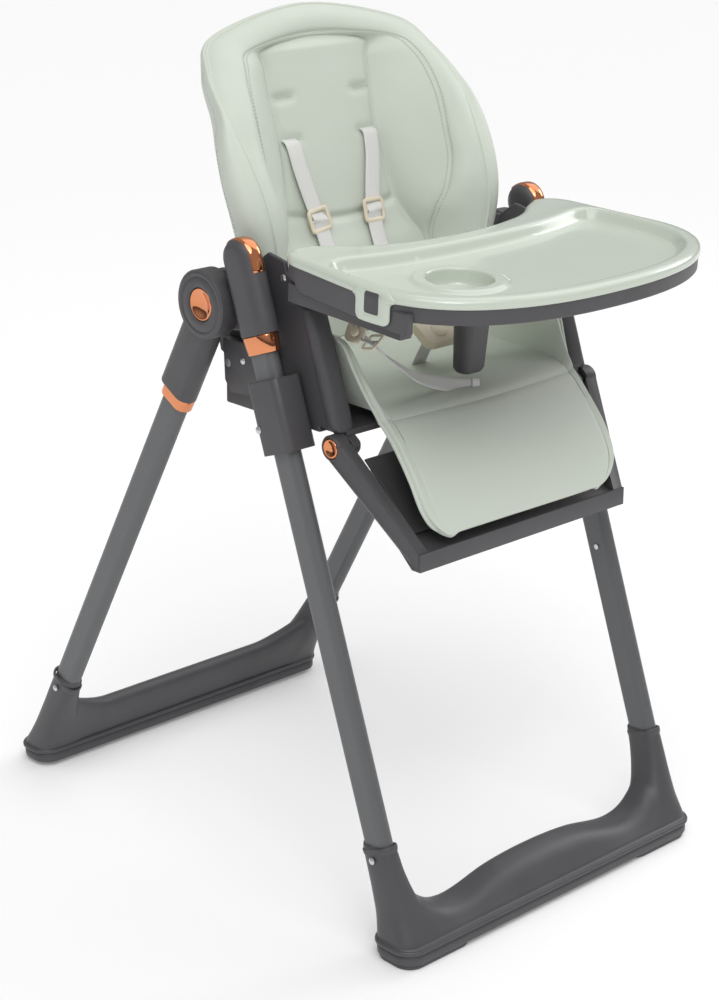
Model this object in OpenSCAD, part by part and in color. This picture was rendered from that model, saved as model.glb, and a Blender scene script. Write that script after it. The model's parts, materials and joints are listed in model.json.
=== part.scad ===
// Folding baby high chair. The chair faces -Y, +Z is up, and X runs across it.
// "left" is the -X side, "right" is the +X side. Every side part is drawn on the
// right and mirrored for the left.

/* [Overall] */
// Half the width over the floor sleds
half_w = 264; // [250:1:280]
// Front leg: where its axis would meet the floor
front_foot_y = -342; // [-350:1:-334]
// Front leg: backward lean in degrees
front_lean = 19.3; // [19:0.1:19.6]
// Fold hinge: distance of its axis behind the origin
hinge_y = -8; // [-9:0.5:-7]
// Fold hinge: height of its axis
hinge_z = 746; // [742:1:750]
// Rear leg: forward lean in degrees
rear_lean = 29.8; // [29.4:0.1:30.2]

/* [Leg tubes] */
// Tube section, front to back
tube_l = 40; // [36:1:44]
// Tube section, across the chair
tube_w = 20; // [18:1:22]
// Tube wall
tube_wall = 1.5; // [1:0.1:2]
// Half the spacing of the leg tubes
tube_x = 239; // [238:0.5:240]
// Height of the joint between lower and upper tube
seam_z = 352; // [340:1:360]

/* [Seat] */
// Top of the plastic seat pan
pan_z = 620; // [616:1:622]
// Recline pivot, front to back
recline_y = -10; // [-12:1:-8]
// Recline pivot, height
recline_z = 668; // [666:1:670]
// Lean of the backrest in its upright position
recline_lean = 14.5; // [13:0.5:16]
// Footrest pivot, front to back
foot_piv_y = -192; // [-194:1:-190]
// Footrest pivot, height
foot_piv_z = 602; // [600:1:603]

/* [Tray] */
// Half the width of the tray
tray_half_w = 250; // [246:1:254]
// Rear corner of the tray, front to back
tray_y = -147; // [-150:1:-144]
// Height of the tray's rear edge
tray_z = 812; // [808:1:816]
// Forward slope of the tray in degrees
tray_tilt = 3.1; // [2:0.1:4]

/* [Hidden] */
$fn = 64;

ANTHRACITE = [0.28, 0.27, 0.29];
TUBE_GREY = [0.39, 0.39, 0.40];
COPPER = [0.80, 0.48, 0.34];
MINT = [0.83, 0.88, 0.83];
WEBBING = [0.88, 0.88, 0.87];
CREAM = [0.89, 0.84, 0.75];
ZINC = [0.75, 0.76, 0.78];
BLACK = [0.08, 0.08, 0.09];

left = -1;
right = 1;
gap = 0.4;                       // clearance between bodies that slide past each other
run = 0.05;                      // radial clearance of a running fit

sled_depth = 80;
rim_z = 25;
pad_z = 6;
front_lip_z = 137;
rear_lip_z = 150;
seam_spigot = 60;
column_bottom_z = 721;
column_top_z = 830;
collar_bottom_z = 700;
slider_top_z = 671;
slider_bottom_z = 589;
disc_r = 42;
button_r = 20;
disc_out = 262;                  // outer face of the hinge disc
disc_in = 238;                   // inner face of the hinge disc
side_wall_x = 205;               // inner face of the seat shell's side walls
lock_pitch = 38;                 // spacing of the height stops along the tube

// ---------------------------------------------------------------- helpers

module on_side(side) {
    if (side < 0) mirror([1, 0, 0]) children();
    else children();
}

module pair() {
    for (side = [left, right]) on_side(side) children();
}

// Frame on the front leg's axis at height z, its +Z running up the leg
module on_front(z) {
    translate([0, front_foot_y + z * tan(front_lean), z]) rotate([-front_lean, 0, 0]) children();
}

// Frame on the rear leg's axis at height z, its +Z running up the leg
module on_rear(z) {
    translate([0, hinge_y + (hinge_z - z) * tan(rear_lean), z]) rotate([rear_lean, 0, 0]) children();
}

// Frame on the recline pivot, +Z up the backrest, -Y out of its front
module on_back() {
    translate([0, recline_y, recline_z]) rotate([-recline_lean, 0, 0]) children();
}

// Frame on the tray's rear edge, +Z square to the tray
module on_tray() {
    translate([0, tray_y, tray_z]) rotate([tray_tilt, 0, 0]) children();
}

module flat_oval(l, w) {
    square([w, l - w], center = true);
    for (e = [-1, 1]) translate([0, e * (l - w) / 2]) circle(w / 2);
}

module round_rect(size, r) {
    square([size[0] - 2 * r, size[1]], center = true);
    square([size[0], size[1] - 2 * r], center = true);
    for (i = [-1, 1], j = [-1, 1])
        translate([i * (size[0] / 2 - r), j * (size[1] / 2 - r)]) circle(r);
}

// Plate cut from an outline of [y, z] points, from x0 to x1
module side_plate(points, x0, x1) {
    translate([x0, 0, 0]) rotate([90, 0, 90]) linear_extrude(x1 - x0) polygon(points);
}

// Cylinder along X from x0 to x1
module x_rod(r, x0, x1) {
    translate([x0, 0, 0]) rotate([0, 90, 0]) cylinder(r = r, h = x1 - x0);
}

module tube(length) {
    linear_extrude(length) difference() {
        flat_oval(tube_l, tube_w);
        flat_oval(tube_l - 2 * tube_wall, tube_w - 2 * tube_wall);
    }
}

// Button-head screw with its head on +X
module screw(length) {
    x_rod(2, -length, 0);
    intersection() {
        translate([-4, 0, 0]) sphere(6.4);
        x_rod(4.6, 0, 3);
    }
}

// ---------------------------------------------------------------- floor sleds

// Height of a sled's crest: low beside the legs, a hump in the middle, and a
// quarter ellipse up each leg. low and hump are heights, lip the socket's mouth.
function crest(x, low, hump, lip) =
    abs(x) < 142 ? low + (hump - low) * pow(cos(abs(x) * 90 / 142), 2)
    : lip - (lip - low) * sqrt(max(0, 1 - pow((abs(x) - 142) / 62, 2)));

function sled_profile(low, hump, lip) = concat(
    [[-half_w + 2, rim_z], [-tube_x - 17, lip], [-tube_x + 17, lip]],
    [for (x = [-202 : 10 : 202]) [x, min(lip - 8, crest(x, low, hump, lip))]],
    [[tube_x - 17, lip], [tube_x + 17, lip], [half_w - 2, rim_z]]);

module front_sled() color(ANTHRACITE) difference() {
    union() {
        translate([0, front_foot_y, pad_z]) linear_extrude(rim_z - pad_z)
            round_rect([2 * half_w, sled_depth - 6], 26);
        for (s = [-1, 1]) translate([s * 202, front_foot_y, 0])
            linear_extrude(pad_z + 1) round_rect([112, 66], 22);
        intersection() {
            on_front(0) rotate([90, 0, 0]) linear_extrude(50, center = true)
                polygon(sled_profile(46 / cos(front_lean), 58 / cos(front_lean),
                    front_lip_z / cos(front_lean)));
            translate([-300, -500, rim_z - 8]) cube([600, 400, 200]);
        }
        translate([0, front_foot_y, rim_z])
            linear_extrude(12) round_rect([2 * half_w - 24, sled_depth - 18], 26);
    }
    for (s = [-1, 1]) on_front(30) translate([s * tube_x, 0, 0])
        linear_extrude(200) flat_oval(tube_l, tube_w);
}

rear_base_y = hinge_y + (hinge_z - rim_z) * tan(rear_lean) + 2;

module rear_sled() color(ANTHRACITE) difference() {
    union() {
        translate([0, rear_base_y, pad_z]) linear_extrude(rim_z - pad_z)
            round_rect([2 * half_w - 4, 67], 26);
        intersection() {
            on_rear(0) rotate([90, 0, 0]) linear_extrude(48, center = true)
                polygon(sled_profile(77 / cos(rear_lean), 79 / cos(rear_lean),
                    rear_lip_z / cos(rear_lean)));
            translate([-300, 200, rim_z - 8]) cube([600, 400, 200]);
        }
        translate([0, rear_base_y, rim_z])
            linear_extrude(14) round_rect([2 * half_w - 30, 58], 26);
    }
    for (s = [-1, 1]) on_rear(34) translate([s * tube_x, 0, 0])
        linear_extrude(200) flat_oval(tube_l, tube_w);
}

module rear_feet() color(BLACK) for (s = [-1, 1])
    translate([s * 240, rear_base_y, 0]) cylinder(r1 = 8.5, r2 = 10, h = pad_z, $fn = 48);

module sled_screws() {
    pair() translate([tube_x + 17, 0, 0]) screw(8);
}

module front_sled_screws() color(ZINC) on_front(front_lip_z - 14) sled_screws();

module rear_sled_screws() color(ZINC) on_rear(rear_lip_z - 14) sled_screws();

// ---------------------------------------------------------------- leg tubes

// Lower tube from z0 up to the seam, with a spigot that enters the upper tube
module lower_tube(z0, lean) {
    length = (seam_z - z0) / cos(lean);
    tube(length);
    translate([0, 0, length]) linear_extrude(seam_spigot) difference() {
        flat_oval(tube_l - 2 * tube_wall - 0.3, tube_w - 2 * tube_wall - 0.3);
        flat_oval(tube_l - 4 * tube_wall, tube_w - 4 * tube_wall);
    }
    difference() {
        translate([0, 0, length - 6]) linear_extrude(6) flat_oval(tube_l - 1, tube_w - 1);
        translate([0, 0, length - 7]) linear_extrude(8)
            flat_oval(tube_l - 4 * tube_wall, tube_w - 4 * tube_wall);
    }
}

module front_lower_tube(side) color(TUBE_GREY) difference() {
    on_side(side) on_front(30) translate([tube_x, 0, 0]) lower_tube(30, front_lean);
    front_snap_bore(side);
}

module rear_lower_tube(side) color(TUBE_GREY) difference() {
    on_side(side) on_rear(34) translate([tube_x, 0, 0]) lower_tube(34, rear_lean);
    rear_snap_bore(side);
}

snap_z = 372;
snap_r = 3.5;

module front_snap_bore(side) {
    on_side(side) on_front(snap_z) x_rod(snap_r + 0.1, tube_x - 14, tube_x - 4);
}

module rear_snap_bore(side) {
    on_side(side) on_rear(snap_z) x_rod(snap_r + 0.1, tube_x - 14, tube_x - 4);
}

lock_z0 = 634;                   // height of the seat lock's axis at rest
lock_count = 6;
lock_r = 4;

// Row of height stops in the tube's inner wall
module lock_holes() {
    for (i = [0 : lock_count - 1]) on_front(lock_z0) translate([0, 0, -i * lock_pitch])
        x_rod(lock_r + 0.6, tube_x - 14, tube_x - 4);
}

module front_upper_tube(side) color(TUBE_GREY) difference() {
    on_side(side) on_front(seam_z) translate([tube_x, 0, 0])
        tube((800 - seam_z) / cos(front_lean));
    on_side(side) lock_holes();
    front_snap_bore(side);
}

module rear_upper_tube(side) color(TUBE_GREY) difference() {
    on_side(side) on_rear(seam_z) translate([tube_x, 0, 0])
        tube((hinge_z - seam_z) / cos(rear_lean) - 52);
    rear_snap_bore(side);
}

module snap_pin() {
    x_rod(snap_r, tube_x - 11.5, tube_x - 5);
}

module front_snap_pins() color(ZINC) pair() on_front(snap_z) snap_pin();

module rear_snap_pins() color(ZINC) pair() on_rear(snap_z) snap_pin();

// ---------------------------------------------------------------- front top housings

column_l = 50;
column_w = 33;
column_x = tube_x + 0.5;
strip_w = 20;
column_h = (column_top_z - column_bottom_z) / cos(front_lean);

// Bullet-shaped column: a flat oval with a half-round top seen from the side
module column_body(l, w, h) {
    intersection() {
        linear_extrude(h) flat_oval(l, w);
        union() {
            translate([-w, -l / 2, 0]) cube([2 * w, l, h - l / 2]);
            translate([0, 0, h - l / 2]) x_rod(l / 2, -w, w);
        }
    }
}

// Groove over the column's front and top edge that holds the copper strip
module strip_shape(inset) {
    difference() {
        column_body(column_l - 2 * inset, column_w - 2 * inset, column_h - inset);
        translate([0, 0, -1]) linear_extrude(column_h) translate([0, 1])
            flat_oval(column_l - 8, column_w + 8);
    }
}

module strip_zone() {
    translate([-strip_w / 2, -column_l, column_h - 34]) cube([strip_w, column_l + 4, 60]);
}

module top_housing(side) color(ANTHRACITE) on_side(side) difference() {
    union() {
        on_front(column_bottom_z) translate([column_x, 0, 0])
            column_body(column_l, column_w, column_h);
        // bridge from the column back to the hinge drum
        side_plate([[-90, 722], [-70, 784], [hinge_y, 786], [hinge_y, hinge_z], [hinge_y - 30, hinge_z - 27]], 223.5, disc_in - gap);
        translate([0, hinge_y, hinge_z]) x_rod(40, 223.5, disc_in - gap);
    }
    on_front(column_bottom_z) translate([tube_x, 0, -1])
        linear_extrude((800 - column_bottom_z) / cos(front_lean) + 1) flat_oval(tube_l, tube_w);
    translate([0, hinge_y, hinge_z]) x_rod(6, 200, 300);
    on_front(column_bottom_z) translate([column_x, 0, 0]) intersection() {
        difference() {
            column_body(column_l + 2, column_w + 2, column_h + 1);
            translate([0, 0, -1]) column_body(column_l - 3, column_w - 3, column_h - 0.5);
        }
        strip_zone();
    }
}

module housing_strip(side) color(COPPER) on_side(side)
    on_front(column_bottom_z) translate([column_x, 0, 0]) intersection() {
        difference() {
            column_body(column_l, column_w, column_h);
            translate([0, 0, -1]) column_body(column_l - 3, column_w - 3, column_h - 0.5);
        }
        strip_zone();
    }

// Copper ring under the column, wrapped round the tube
module front_collar(side) color(COPPER) on_side(side)
    on_front(collar_bottom_z) translate([tube_x, 0, 0]) difference() {
        linear_extrude((column_bottom_z - collar_bottom_z) / cos(front_lean))
            flat_oval(tube_l + 7, tube_w + 10);
        translate([0, 0, -1]) linear_extrude(60) flat_oval(tube_l, tube_w);
    }

module hinge_pins() color(ZINC) pair() translate([0, hinge_y, hinge_z]) {
    x_rod(6, 223.5, disc_in + 4.4);
    x_rod(9.5, disc_in + 4.4, disc_in + 6.4);
}

// ---------------------------------------------------------------- rear hinge sleeves

sleeve_l = 56;
sleeve_out = 258;
sleeve_in = 227.5;
sleeve_x = (sleeve_out + sleeve_in) / 2;
sleeve_end = 140;                // length of the sleeve from the hinge axis
ring_h = 20;

module on_sleeve() {
    translate([0, hinge_y, hinge_z]) rotate([rear_lean, 0, 0]) children();
}

module hinge_sleeve(side) color(ANTHRACITE) on_side(side) difference() {
    union() {
        translate([0, hinge_y, hinge_z]) x_rod(disc_r, disc_in, disc_out);
        on_sleeve() translate([sleeve_x, 0, -sleeve_end])
            linear_extrude(sleeve_end) flat_oval(sleeve_l, sleeve_out - sleeve_in);
    }
    // room for the front housing's drum and bridge
    translate([0, hinge_y, hinge_z]) x_rod(disc_r + 4, 200, disc_in);
    // socket for the tube
    on_sleeve() translate([tube_x, 0, -sleeve_end - 1]) linear_extrude(sleeve_end - 51)
        flat_oval(tube_l, tube_w);
    // well for the fold button, and the hinge pin's running bore
    translate([0, hinge_y, hinge_z]) {
        x_rod(button_r + 0.6, disc_in + 4, 300);
        x_rod(6 + run, 200, 300);
    }
}

module rear_collar(side) color(COPPER) on_side(side) on_sleeve()
    translate([tube_x, 0, -sleeve_end - ring_h]) difference() {
        linear_extrude(ring_h) flat_oval(tube_l + 9, tube_w + 7);
        translate([0, 0, -1]) linear_extrude(ring_h + 2) flat_oval(tube_l, tube_w);
    }

// Dished copper push button on each hinge
module fold_button(side) color(COPPER) on_side(side)
    translate([0, hinge_y, hinge_z]) difference() {
        x_rod(button_r, disc_out - 11, disc_out - 1);
        translate([disc_out + 38, 0, 0]) sphere(43, $fn = 96);
    }

spring_turns = 4;
spring_steps = 12;
spring_len = 5.2;

// Compression spring behind each fold button, a swept round wire
module coil_spring(mean_r, wire_r, length, turns) {
    n = spring_steps * turns;
    m = 6;
    rings = [for (i = [0 : n]) let (a = 360 * i / spring_steps, z = wire_r + (length - 2 * wire_r) * i / n)
        for (j = [0 : m - 1]) let (b = 360 * j / m)
            [z + wire_r * sin(b), (mean_r + wire_r * cos(b)) * cos(a), (mean_r + wire_r * cos(b)) * sin(a)]];
    sides = [for (i = [0 : n - 1], j = [0 : m - 1])
        [i * m + j, i * m + (j + 1) % m, (i + 1) * m + (j + 1) % m, (i + 1) * m + j]];
    polyhedron(rings, concat(sides, [[for (j = [m - 1 : -1 : 0]) j]], [[for (j = [0 : m - 1]) n * m + j]]));
}

module fold_springs() color(ZINC) pair()
    translate([disc_in + 4.05, hinge_y, hinge_z]) coil_spring(13, 0.6, spring_len, spring_turns);

// ---------------------------------------------------------------- seat carriage

slider_l = 54;
slider_in = 214;
slider_out = 258;
bracket_x = 223.5;

module slider_housing(side) color(ANTHRACITE) on_side(side) difference() {
    union() {
        on_front(slider_bottom_z) translate([(slider_in + slider_out) / 2, -1, 0])
            linear_extrude((slider_top_z - slider_bottom_z) / cos(front_lean))
                round_rect([slider_out - slider_in, slider_l], 9);
        // bracket from the slider back to the recline pivot
        side_plate([[-92, 612], [-76, 638], [-14, 632], [-4, 646], [-2, 698], [-84, 698]],
            side_wall_x + 6, bracket_x);
    }
    on_front(slider_bottom_z - 40) translate([tube_x, 0, 0])
        linear_extrude(220) flat_oval(tube_l + 2 * gap, tube_w + 2 * gap);
    on_front(lock_z0) x_rod(lock_r + run, 200, tube_x);
    translate([0, recline_y, recline_z]) x_rod(5, side_wall_x, 300);
}

// Side wall outline of the seat shell, [y, z]
wall_front = [[-198, pan_z - 1], [-146, 758]];
side_wall = [wall_front[0], wall_front[1], [-118, 758], [-116, 786], [-105, 793], [-102, 806],
    [-72, 812], [-44, 792],
    [-6, 716], [8, 690], [10, 612], [-160, 612], [-160, pan_z - 1]];

module seat_shell() color(ANTHRACITE) difference() {
    union() {
        // pan, narrower between the footrest's pivots, with a tongue for the height handle
        translate([-200, -196, pan_z - 8]) cube([400, 36, 8]);
        translate([-side_wall_x - 6, -160, pan_z - 8]) cube([2 * side_wall_x + 12, 158, 8]);
        translate([-110, -3, pan_z - 8]) cube([220, 39, 8]);
        pair() {
            side_plate(side_wall, side_wall_x, side_wall_x + 6);
            // front post of the side panel, between the slider and the cushion
            side_plate([wall_front[0], [-180, pan_z - 1], [-132, 758], wall_front[1]], 186, slider_in);
            // lug of the footrest pivot
            side_plate([[foot_piv_y - 4, pan_z - 7], [foot_piv_y - 14, foot_piv_z],
                [foot_piv_y + 14, foot_piv_z], [foot_piv_y + 24, pan_z - 7]], 186, 199);
            translate([0, foot_piv_y, foot_piv_z]) {
                x_rod(14, 186, 199);
                x_rod(6, 199, 213);
            }
        }
    }
    pair() {
        translate([0, recline_y, recline_z]) x_rod(5, 200, 300);
        on_front(lock_z0) x_rod(lock_r + run, 200, 300);
        translate([70, 24, 0]) cylinder(r = 4 + run, h = 1000);
    }
}

module armrest(side) color(ANTHRACITE) on_side(side) on_tray() {
    translate([212, -171, -46]) cube([17.5, 187, 22]);
    // root that joins the rail to the seat shell's side wall
    translate([side_wall_x + 6, -22, -46]) cube([1.1, 36, 22]);
}

module carriage_screws() color(ZINC) pair() {
    translate([bracket_x, -38, 676]) screw(6);
    on_front(slider_bottom_z + 30) translate([slider_out, 20, 0]) screw(6);
    translate([side_wall_x + 6, -100, 786]) screw(6);
}

module recline_pins() color(ZINC) pair() translate([0, recline_y, recline_z]) x_rod(5, 192, bracket_x);

module seat_cushion() color(MINT) {
    translate([-160, -200, pan_z + 0.3]) cube([320, 194, 15.5]);
    pair() side_plate([[-196, pan_z + 0.3], [-186, 660], [-170, 712], [-60, 724], [-30, 700], [-8, 640],
        [-6, pan_z + 0.3]], 160, 184);
}

// ---------------------------------------------------------------- harness

strap_t = 1.6;

module crotch_strap() color(WEBBING)
    side_plate([[-108, pan_z + 16], [-112, pan_z + 30], [-132, 683], [-133.5, 682.4], [-113.6, pan_z + 29.4],
        [-109.6, pan_z + 16]], -12.5, 12.5);

module harness_buckle() color(CREAM) translate([0, -139, 691]) rotate([35, 0, 0]) {
    linear_extrude(12, center = true) round_rect([56, 42], 12);
    translate([0, -2, 6]) cylinder(r = 11, h = 2);
}

// Webbing that runs from its anchor on the side pad down to a loose end on the seat
waist_run = [[-158, -168, 724], [-146, -178, 708], [-118, -184, 684], [-84, -186, 662], [-46, -188, 647],
    [-14, -191, 639.5], [6, -196, 637.6]];

// Flat strap along a run of points, with its width across Y
module strap_run(points, width, t) {
    n = len(points);
    v = concat([for (p = points) [p[0], p[1] - width / 2, p[2]]], [for (p = points) [p[0], p[1] + width / 2, p[2]]],
        [for (p = points) [p[0], p[1] - width / 2, p[2] + t]], [for (p = points) [p[0], p[1] + width / 2, p[2] + t]]);
    f = concat(
        [for (i = [0 : n - 2]) [i, n + i, n + i + 1, i + 1]],
        [for (i = [0 : n - 2]) [2 * n + i, 2 * n + i + 1, 3 * n + i + 1, 3 * n + i]],
        [for (i = [0 : n - 2]) [i, i + 1, 2 * n + i + 1, 2 * n + i]],
        [for (i = [0 : n - 2]) [n + i, 3 * n + i, 3 * n + i + 1, n + i + 1]],
        [[0, 2 * n, 3 * n, n], [n - 1, 2 * n - 1, 4 * n - 1, 3 * n - 1]]);
    polyhedron(v, f);
}

// The other strap's run, from its anchor to the buckle
buckle_run = [[-158, -168, 724], [-142, -171, 709], [-104, -163, 699], [-66, -152, 697], [-31, -143, 694]];

module waist_strap(side) color(WEBBING) on_side(-side)
    strap_run(side == left ? waist_run : buckle_run, 16, strap_t);

module waist_adjusters() color(CREAM) pair() translate([140, -178, 711]) rotate([0, 38, 0])
    linear_extrude(3) difference() {
        round_rect([26, 24], 4);
        round_rect([18, 17], 2);
    }

// Shoulder strap on the backrest, [across, out of the panel, up the panel]
shoulder_run = [[64, 4, 238], [60, -2, 220], [52, -5, 185], [44, -7, 145], [38, -12, 105], [32, -30, 70],
    [26, -58, 46]];

module shoulder_strap(side) color(WEBBING) on_side(side) on_back() {
    n = len(shoulder_run);
    w = 13;
    v = concat([for (p = shoulder_run) [p[0] - w, p[1] - strap_t, p[2]]],
        [for (p = shoulder_run) [p[0] + w, p[1] - strap_t, p[2]]],
        [for (p = shoulder_run) [p[0] - w, p[1] - 2 * strap_t, p[2]]],
        [for (p = shoulder_run) [p[0] + w, p[1] - 2 * strap_t, p[2]]]);
    f = concat(
        [for (i = [0 : n - 2]) [i, i + 1, n + i + 1, n + i]],
        [for (i = [0 : n - 2]) [2 * n + i, 3 * n + i, 3 * n + i + 1, 2 * n + i + 1]],
        [for (i = [0 : n - 2]) [i, 2 * n + i, 2 * n + i + 1, i + 1]],
        [for (i = [0 : n - 2]) [n + i, n + i + 1, 3 * n + i + 1, 3 * n + i]],
        [[0, n, 3 * n, 2 * n], [n - 1, 3 * n - 1, 4 * n - 1, 2 * n - 1]]);
    polyhedron(v, f);
}

module shoulder_adjusters() color(CREAM) pair() on_back() translate([44, -10.4, 147]) rotate([90, 8, 0])
    linear_extrude(3) difference() {
        round_rect([34, 26], 5);
        round_rect([26, 18], 3);
    }

// ---------------------------------------------------------------- height lock

module height_handle() color(ANTHRACITE) {
    translate([0, 24, pan_z - 32]) linear_extrude(12) round_rect([190, 22], 8);
    pair() translate([70, 24, pan_z - 21]) {
        cylinder(r = 4, h = 38);
        translate([0, 0, 34]) cylinder(r = 7, h = 3);
    }
}

module lock_pin(side) color(ZINC) on_side(side) on_front(lock_z0) {
    x_rod(lock_r, 196, tube_x - 10.4);
    x_rod(6.5, 194, 196);
}

// ---------------------------------------------------------------- backrest

back_mid = 250;                  // height up the panel where the backrest is widest
back_rise = 166;                 // from there to the top edge
back_power = 2.5;

// Outline of the backrest with a rounded, squarish arch, [x, up]
function back_arch(a, b, z0) = [for (t = [0 : 6 : 180])
    [a * sign(cos(t)) * pow(abs(cos(t)), 2 / back_power), z0 + b * pow(abs(sin(t)), 2 / back_power)]];

function back_outline(half, foot, inset) = concat(
    back_arch(half - inset, back_rise - inset, back_mid),
    [[-half + inset, 190], [-foot + inset, 148], [-foot + inset, 92], [-188 + inset, 60], [-180 + inset, 2 + inset / 4],
     [180 - inset, 2 + inset / 4], [188 - inset, 60], [foot - inset, 92], [foot - inset, 148], [half - inset, 190]]);

panel_y = 6;                     // front face of the centre panel
wing_profile = [[panel_y + 1, 396], [-12, 347], [-46, 290], [-66, 222], [-76, 165], [-74, 110], [-50, 50],
    [panel_y + 1, 10]];

module backrest_cushion() color(MINT) on_back() {
    rotate([90, 0, 0]) translate([0, 0, -panel_y - 24]) linear_extrude(24)
        polygon(back_outline(218, 198, 0));
    intersection() {
        rotate([90, 0, 0]) translate([0, 0, -panel_y - 2]) linear_extrude(90) difference() {
            polygon(back_outline(218, 198, 0));
            polygon(back_outline(218, 198, 44));
        }
        side_plate(concat(wing_profile, [[panel_y + 3, 10], [panel_y + 3, 396]]), -230, 230);
    }
}

module back_shell() color(ANTHRACITE) on_back() difference() {
    union() {
        rotate([90, 0, 0]) translate([0, 0, -panel_y - 32]) linear_extrude(7.7)
            polygon(back_outline(172, 170, 34));
        pair() side_plate([[-9, -9], [-9, 9], [panel_y + 25, 44], [panel_y + 32, 44], [panel_y + 32, 14], [9, -9]],
            193, 201);
        pair() side_plate([[panel_y + 24.6, 14], [panel_y + 24.6, 44], [panel_y + 32, 44], [panel_y + 32, 14]],
            130, 201);
        pair() x_rod(12, 193, 201);
        // pocket that guides the recline handle
        translate([-70, panel_y + 31, 290]) cube([140, 8, 60]);
    }
    pair() x_rod(5 + run, 190, 210);
    translate([-60.4, panel_y + 33, 300]) cube([120.8, 20, 60]);
}

module recline_handle() color(ANTHRACITE) on_back() {
    translate([-60, panel_y + 33.3, 304]) cube([120, 6, 28]);
    translate([-60, panel_y + 39.3, 304]) cube([120, 10, 8]);
}

// ---------------------------------------------------------------- footrest

foot_front_y = -297;
foot_low_z = 466;
foot_lip_z = 488;
foot_half_w = 178;

// One converging arm: a round head on the pivot and a block at the front bar
module foot_arm() {
    hull() {
        translate([0, foot_piv_y, foot_piv_z]) rotate([0, 90, 0]) translate([0, 0, 204])
            cylinder(r = 14.5, h = 17.5, $fn = 32);
        side_plate([[foot_front_y + 24, 478], [foot_front_y + 16, 490], [foot_front_y + 3, 487],
            [foot_front_y + 3, foot_low_z + 2]], 162, foot_half_w);
    }
}

module footrest_frame() color(ANTHRACITE) difference() {
    union() {
        pair() foot_arm();
        // front bar with its raised lip
        side_plate([[foot_front_y, foot_low_z], [foot_front_y, foot_lip_z], [foot_front_y + 3, foot_lip_z],
            [foot_front_y + 5, foot_lip_z - 5], [foot_front_y + 46, foot_lip_z + 14],
            [foot_front_y + 48, foot_lip_z + 9], [foot_front_y + 14, foot_low_z]], -foot_half_w, foot_half_w);
    }
    pair() translate([0, foot_piv_y, foot_piv_z]) {
        x_rod(6 + run, 200, 230);
        x_rod(15, 150, 203.5);
        x_rod(12.4, 215, 230);
    }
}

// Tapered panel between the arms, under the knee flap
module calf_panel() color(ANTHRACITE) translate([0, -198, 588]) rotate([-36, 0, 0])
    rotate([90, 0, 0]) linear_extrude(4) polygon([[-180, -8], [180, -8], [158, -110], [-158, -110]]);

module knee_flap() color(MINT) side_plate(
    [[-236, 603], [-244, 592], [-262, 570], [-273, 552], [-281, 530], [-286, 510], [-287, 499], [-281, 495],
     [-272, 510], [-268, 530], [-260, 550], [-249, 566], [-231, 590], [-223, 602]], -158, 158);

module footrest_button(side) color(COPPER) on_side(side)
    translate([0, foot_piv_y, foot_piv_z]) difference() {
        x_rod(12, 218.5, 223);
        translate([250.5, 0, 0]) sphere(30, $fn = 96);
    }

// ---------------------------------------------------------------- tray

tray_front = 286;
tray_mid = -135;                 // widest across here
tray_power = 2.3;
tray_rear_w = 236;               // half width at the rear corners
ear_r = 38;
ear_v = 37;                      // how far the ears reach behind the tray's frame
belly_a = 170;
belly_b = 66;
rim_h = 11;
cup_x = -115;
cup_y = -146;
cup_r = 42;

// Outline of the tray: a squarish front, rounded ears and an elliptical belly
// cut-out at the rear, drawn i inside the edge
function tray_outline(i) = concat(
    [for (t = [0 : 6 : 180]) [(tray_half_w - i) * sign(cos(t)) * pow(abs(cos(t)), 2 / tray_power),
        tray_mid - (tray_front + tray_mid - i) * pow(abs(sin(t)), 2 / tray_power)]],
    [for (t = [180 : -10 : 90]) [-(tray_rear_w - ear_r) + (ear_r - i) * cos(t), ear_v - ear_r + (ear_r - i) * sin(t)]],
    [for (x = [-160 : 20 : 160]) [x * (1 + i / 200), ear_v - i - belly_b * sqrt(1 - pow(x / belly_a, 2))]],
    [for (t = [90 : -10 : 0]) [(tray_rear_w - ear_r) + (ear_r - i) * cos(t), ear_v - ear_r + (ear_r - i) * sin(t)]]);

module tray_slab(inset, z0, z1) {
    translate([0, 0, z0]) linear_extrude(z1 - z0) polygon(tray_outline(inset));
}

module tray_top() color(MINT) on_tray() difference() {
    union() {
        difference() {
            tray_slab(0, 0, rim_h);
            tray_slab(24, 2.5, rim_h + 1);
        }
        // cup ring and well
        translate([cup_x, cup_y, 0]) cylinder(r = 50, h = 6);
        translate([cup_x, cup_y, -22]) cylinder(r = cup_r + 2, h = 22);
        // side clips that hang over the base
        pair() translate([tray_half_w - 1, tray_mid - 35, -28]) cube([3, 51, 32]);
    }
    translate([cup_x, cup_y, -20]) cylinder(r = cup_r, h = 40);
    pair() translate([tray_half_w - 6, tray_mid - 21, -18]) cube([12, 22, 18 - gap]);
}

module tray_base() color(ANTHRACITE) on_tray() difference() {
    union() {
        difference() {
            tray_slab(2, -19, -gap);
            tray_slab(6, -20, -4);
        }
        // deeper skirt along each side
        intersection() {
            difference() {
                tray_slab(2, -29, -gap);
                tray_slab(6, -30, 1);
            }
            pair() translate([200, -166, -40]) cube([100, 166, 60]);
        }
        // runner that rides on each armrest
        pair() translate([213, -160, -23.6]) cube([17, 158, 20]);
    }
    translate([cup_x, cup_y, -40]) cylinder(r = cup_r + 4, h = 60);
}

module crotch_post() color(ANTHRACITE) on_tray() hull() {
    translate([0, -60, -5]) linear_extrude(1) round_rect([50, 36], 12, $fn = 32);
    translate([0, -57, -156]) linear_extrude(1) round_rect([32, 22], 9, $fn = 32);
    translate([0, -57, -150]) linear_extrude(1) round_rect([40, 28], 12, $fn = 32);
}

module tray_release() color(ANTHRACITE) on_tray() {
    translate([-45, -272, -22]) cube([90, 6, 17.6]);
    translate([-45, -272, -8]) cube([90, 26, 3.6]);
}

// ---------------------------------------------------------------- assembly

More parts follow.
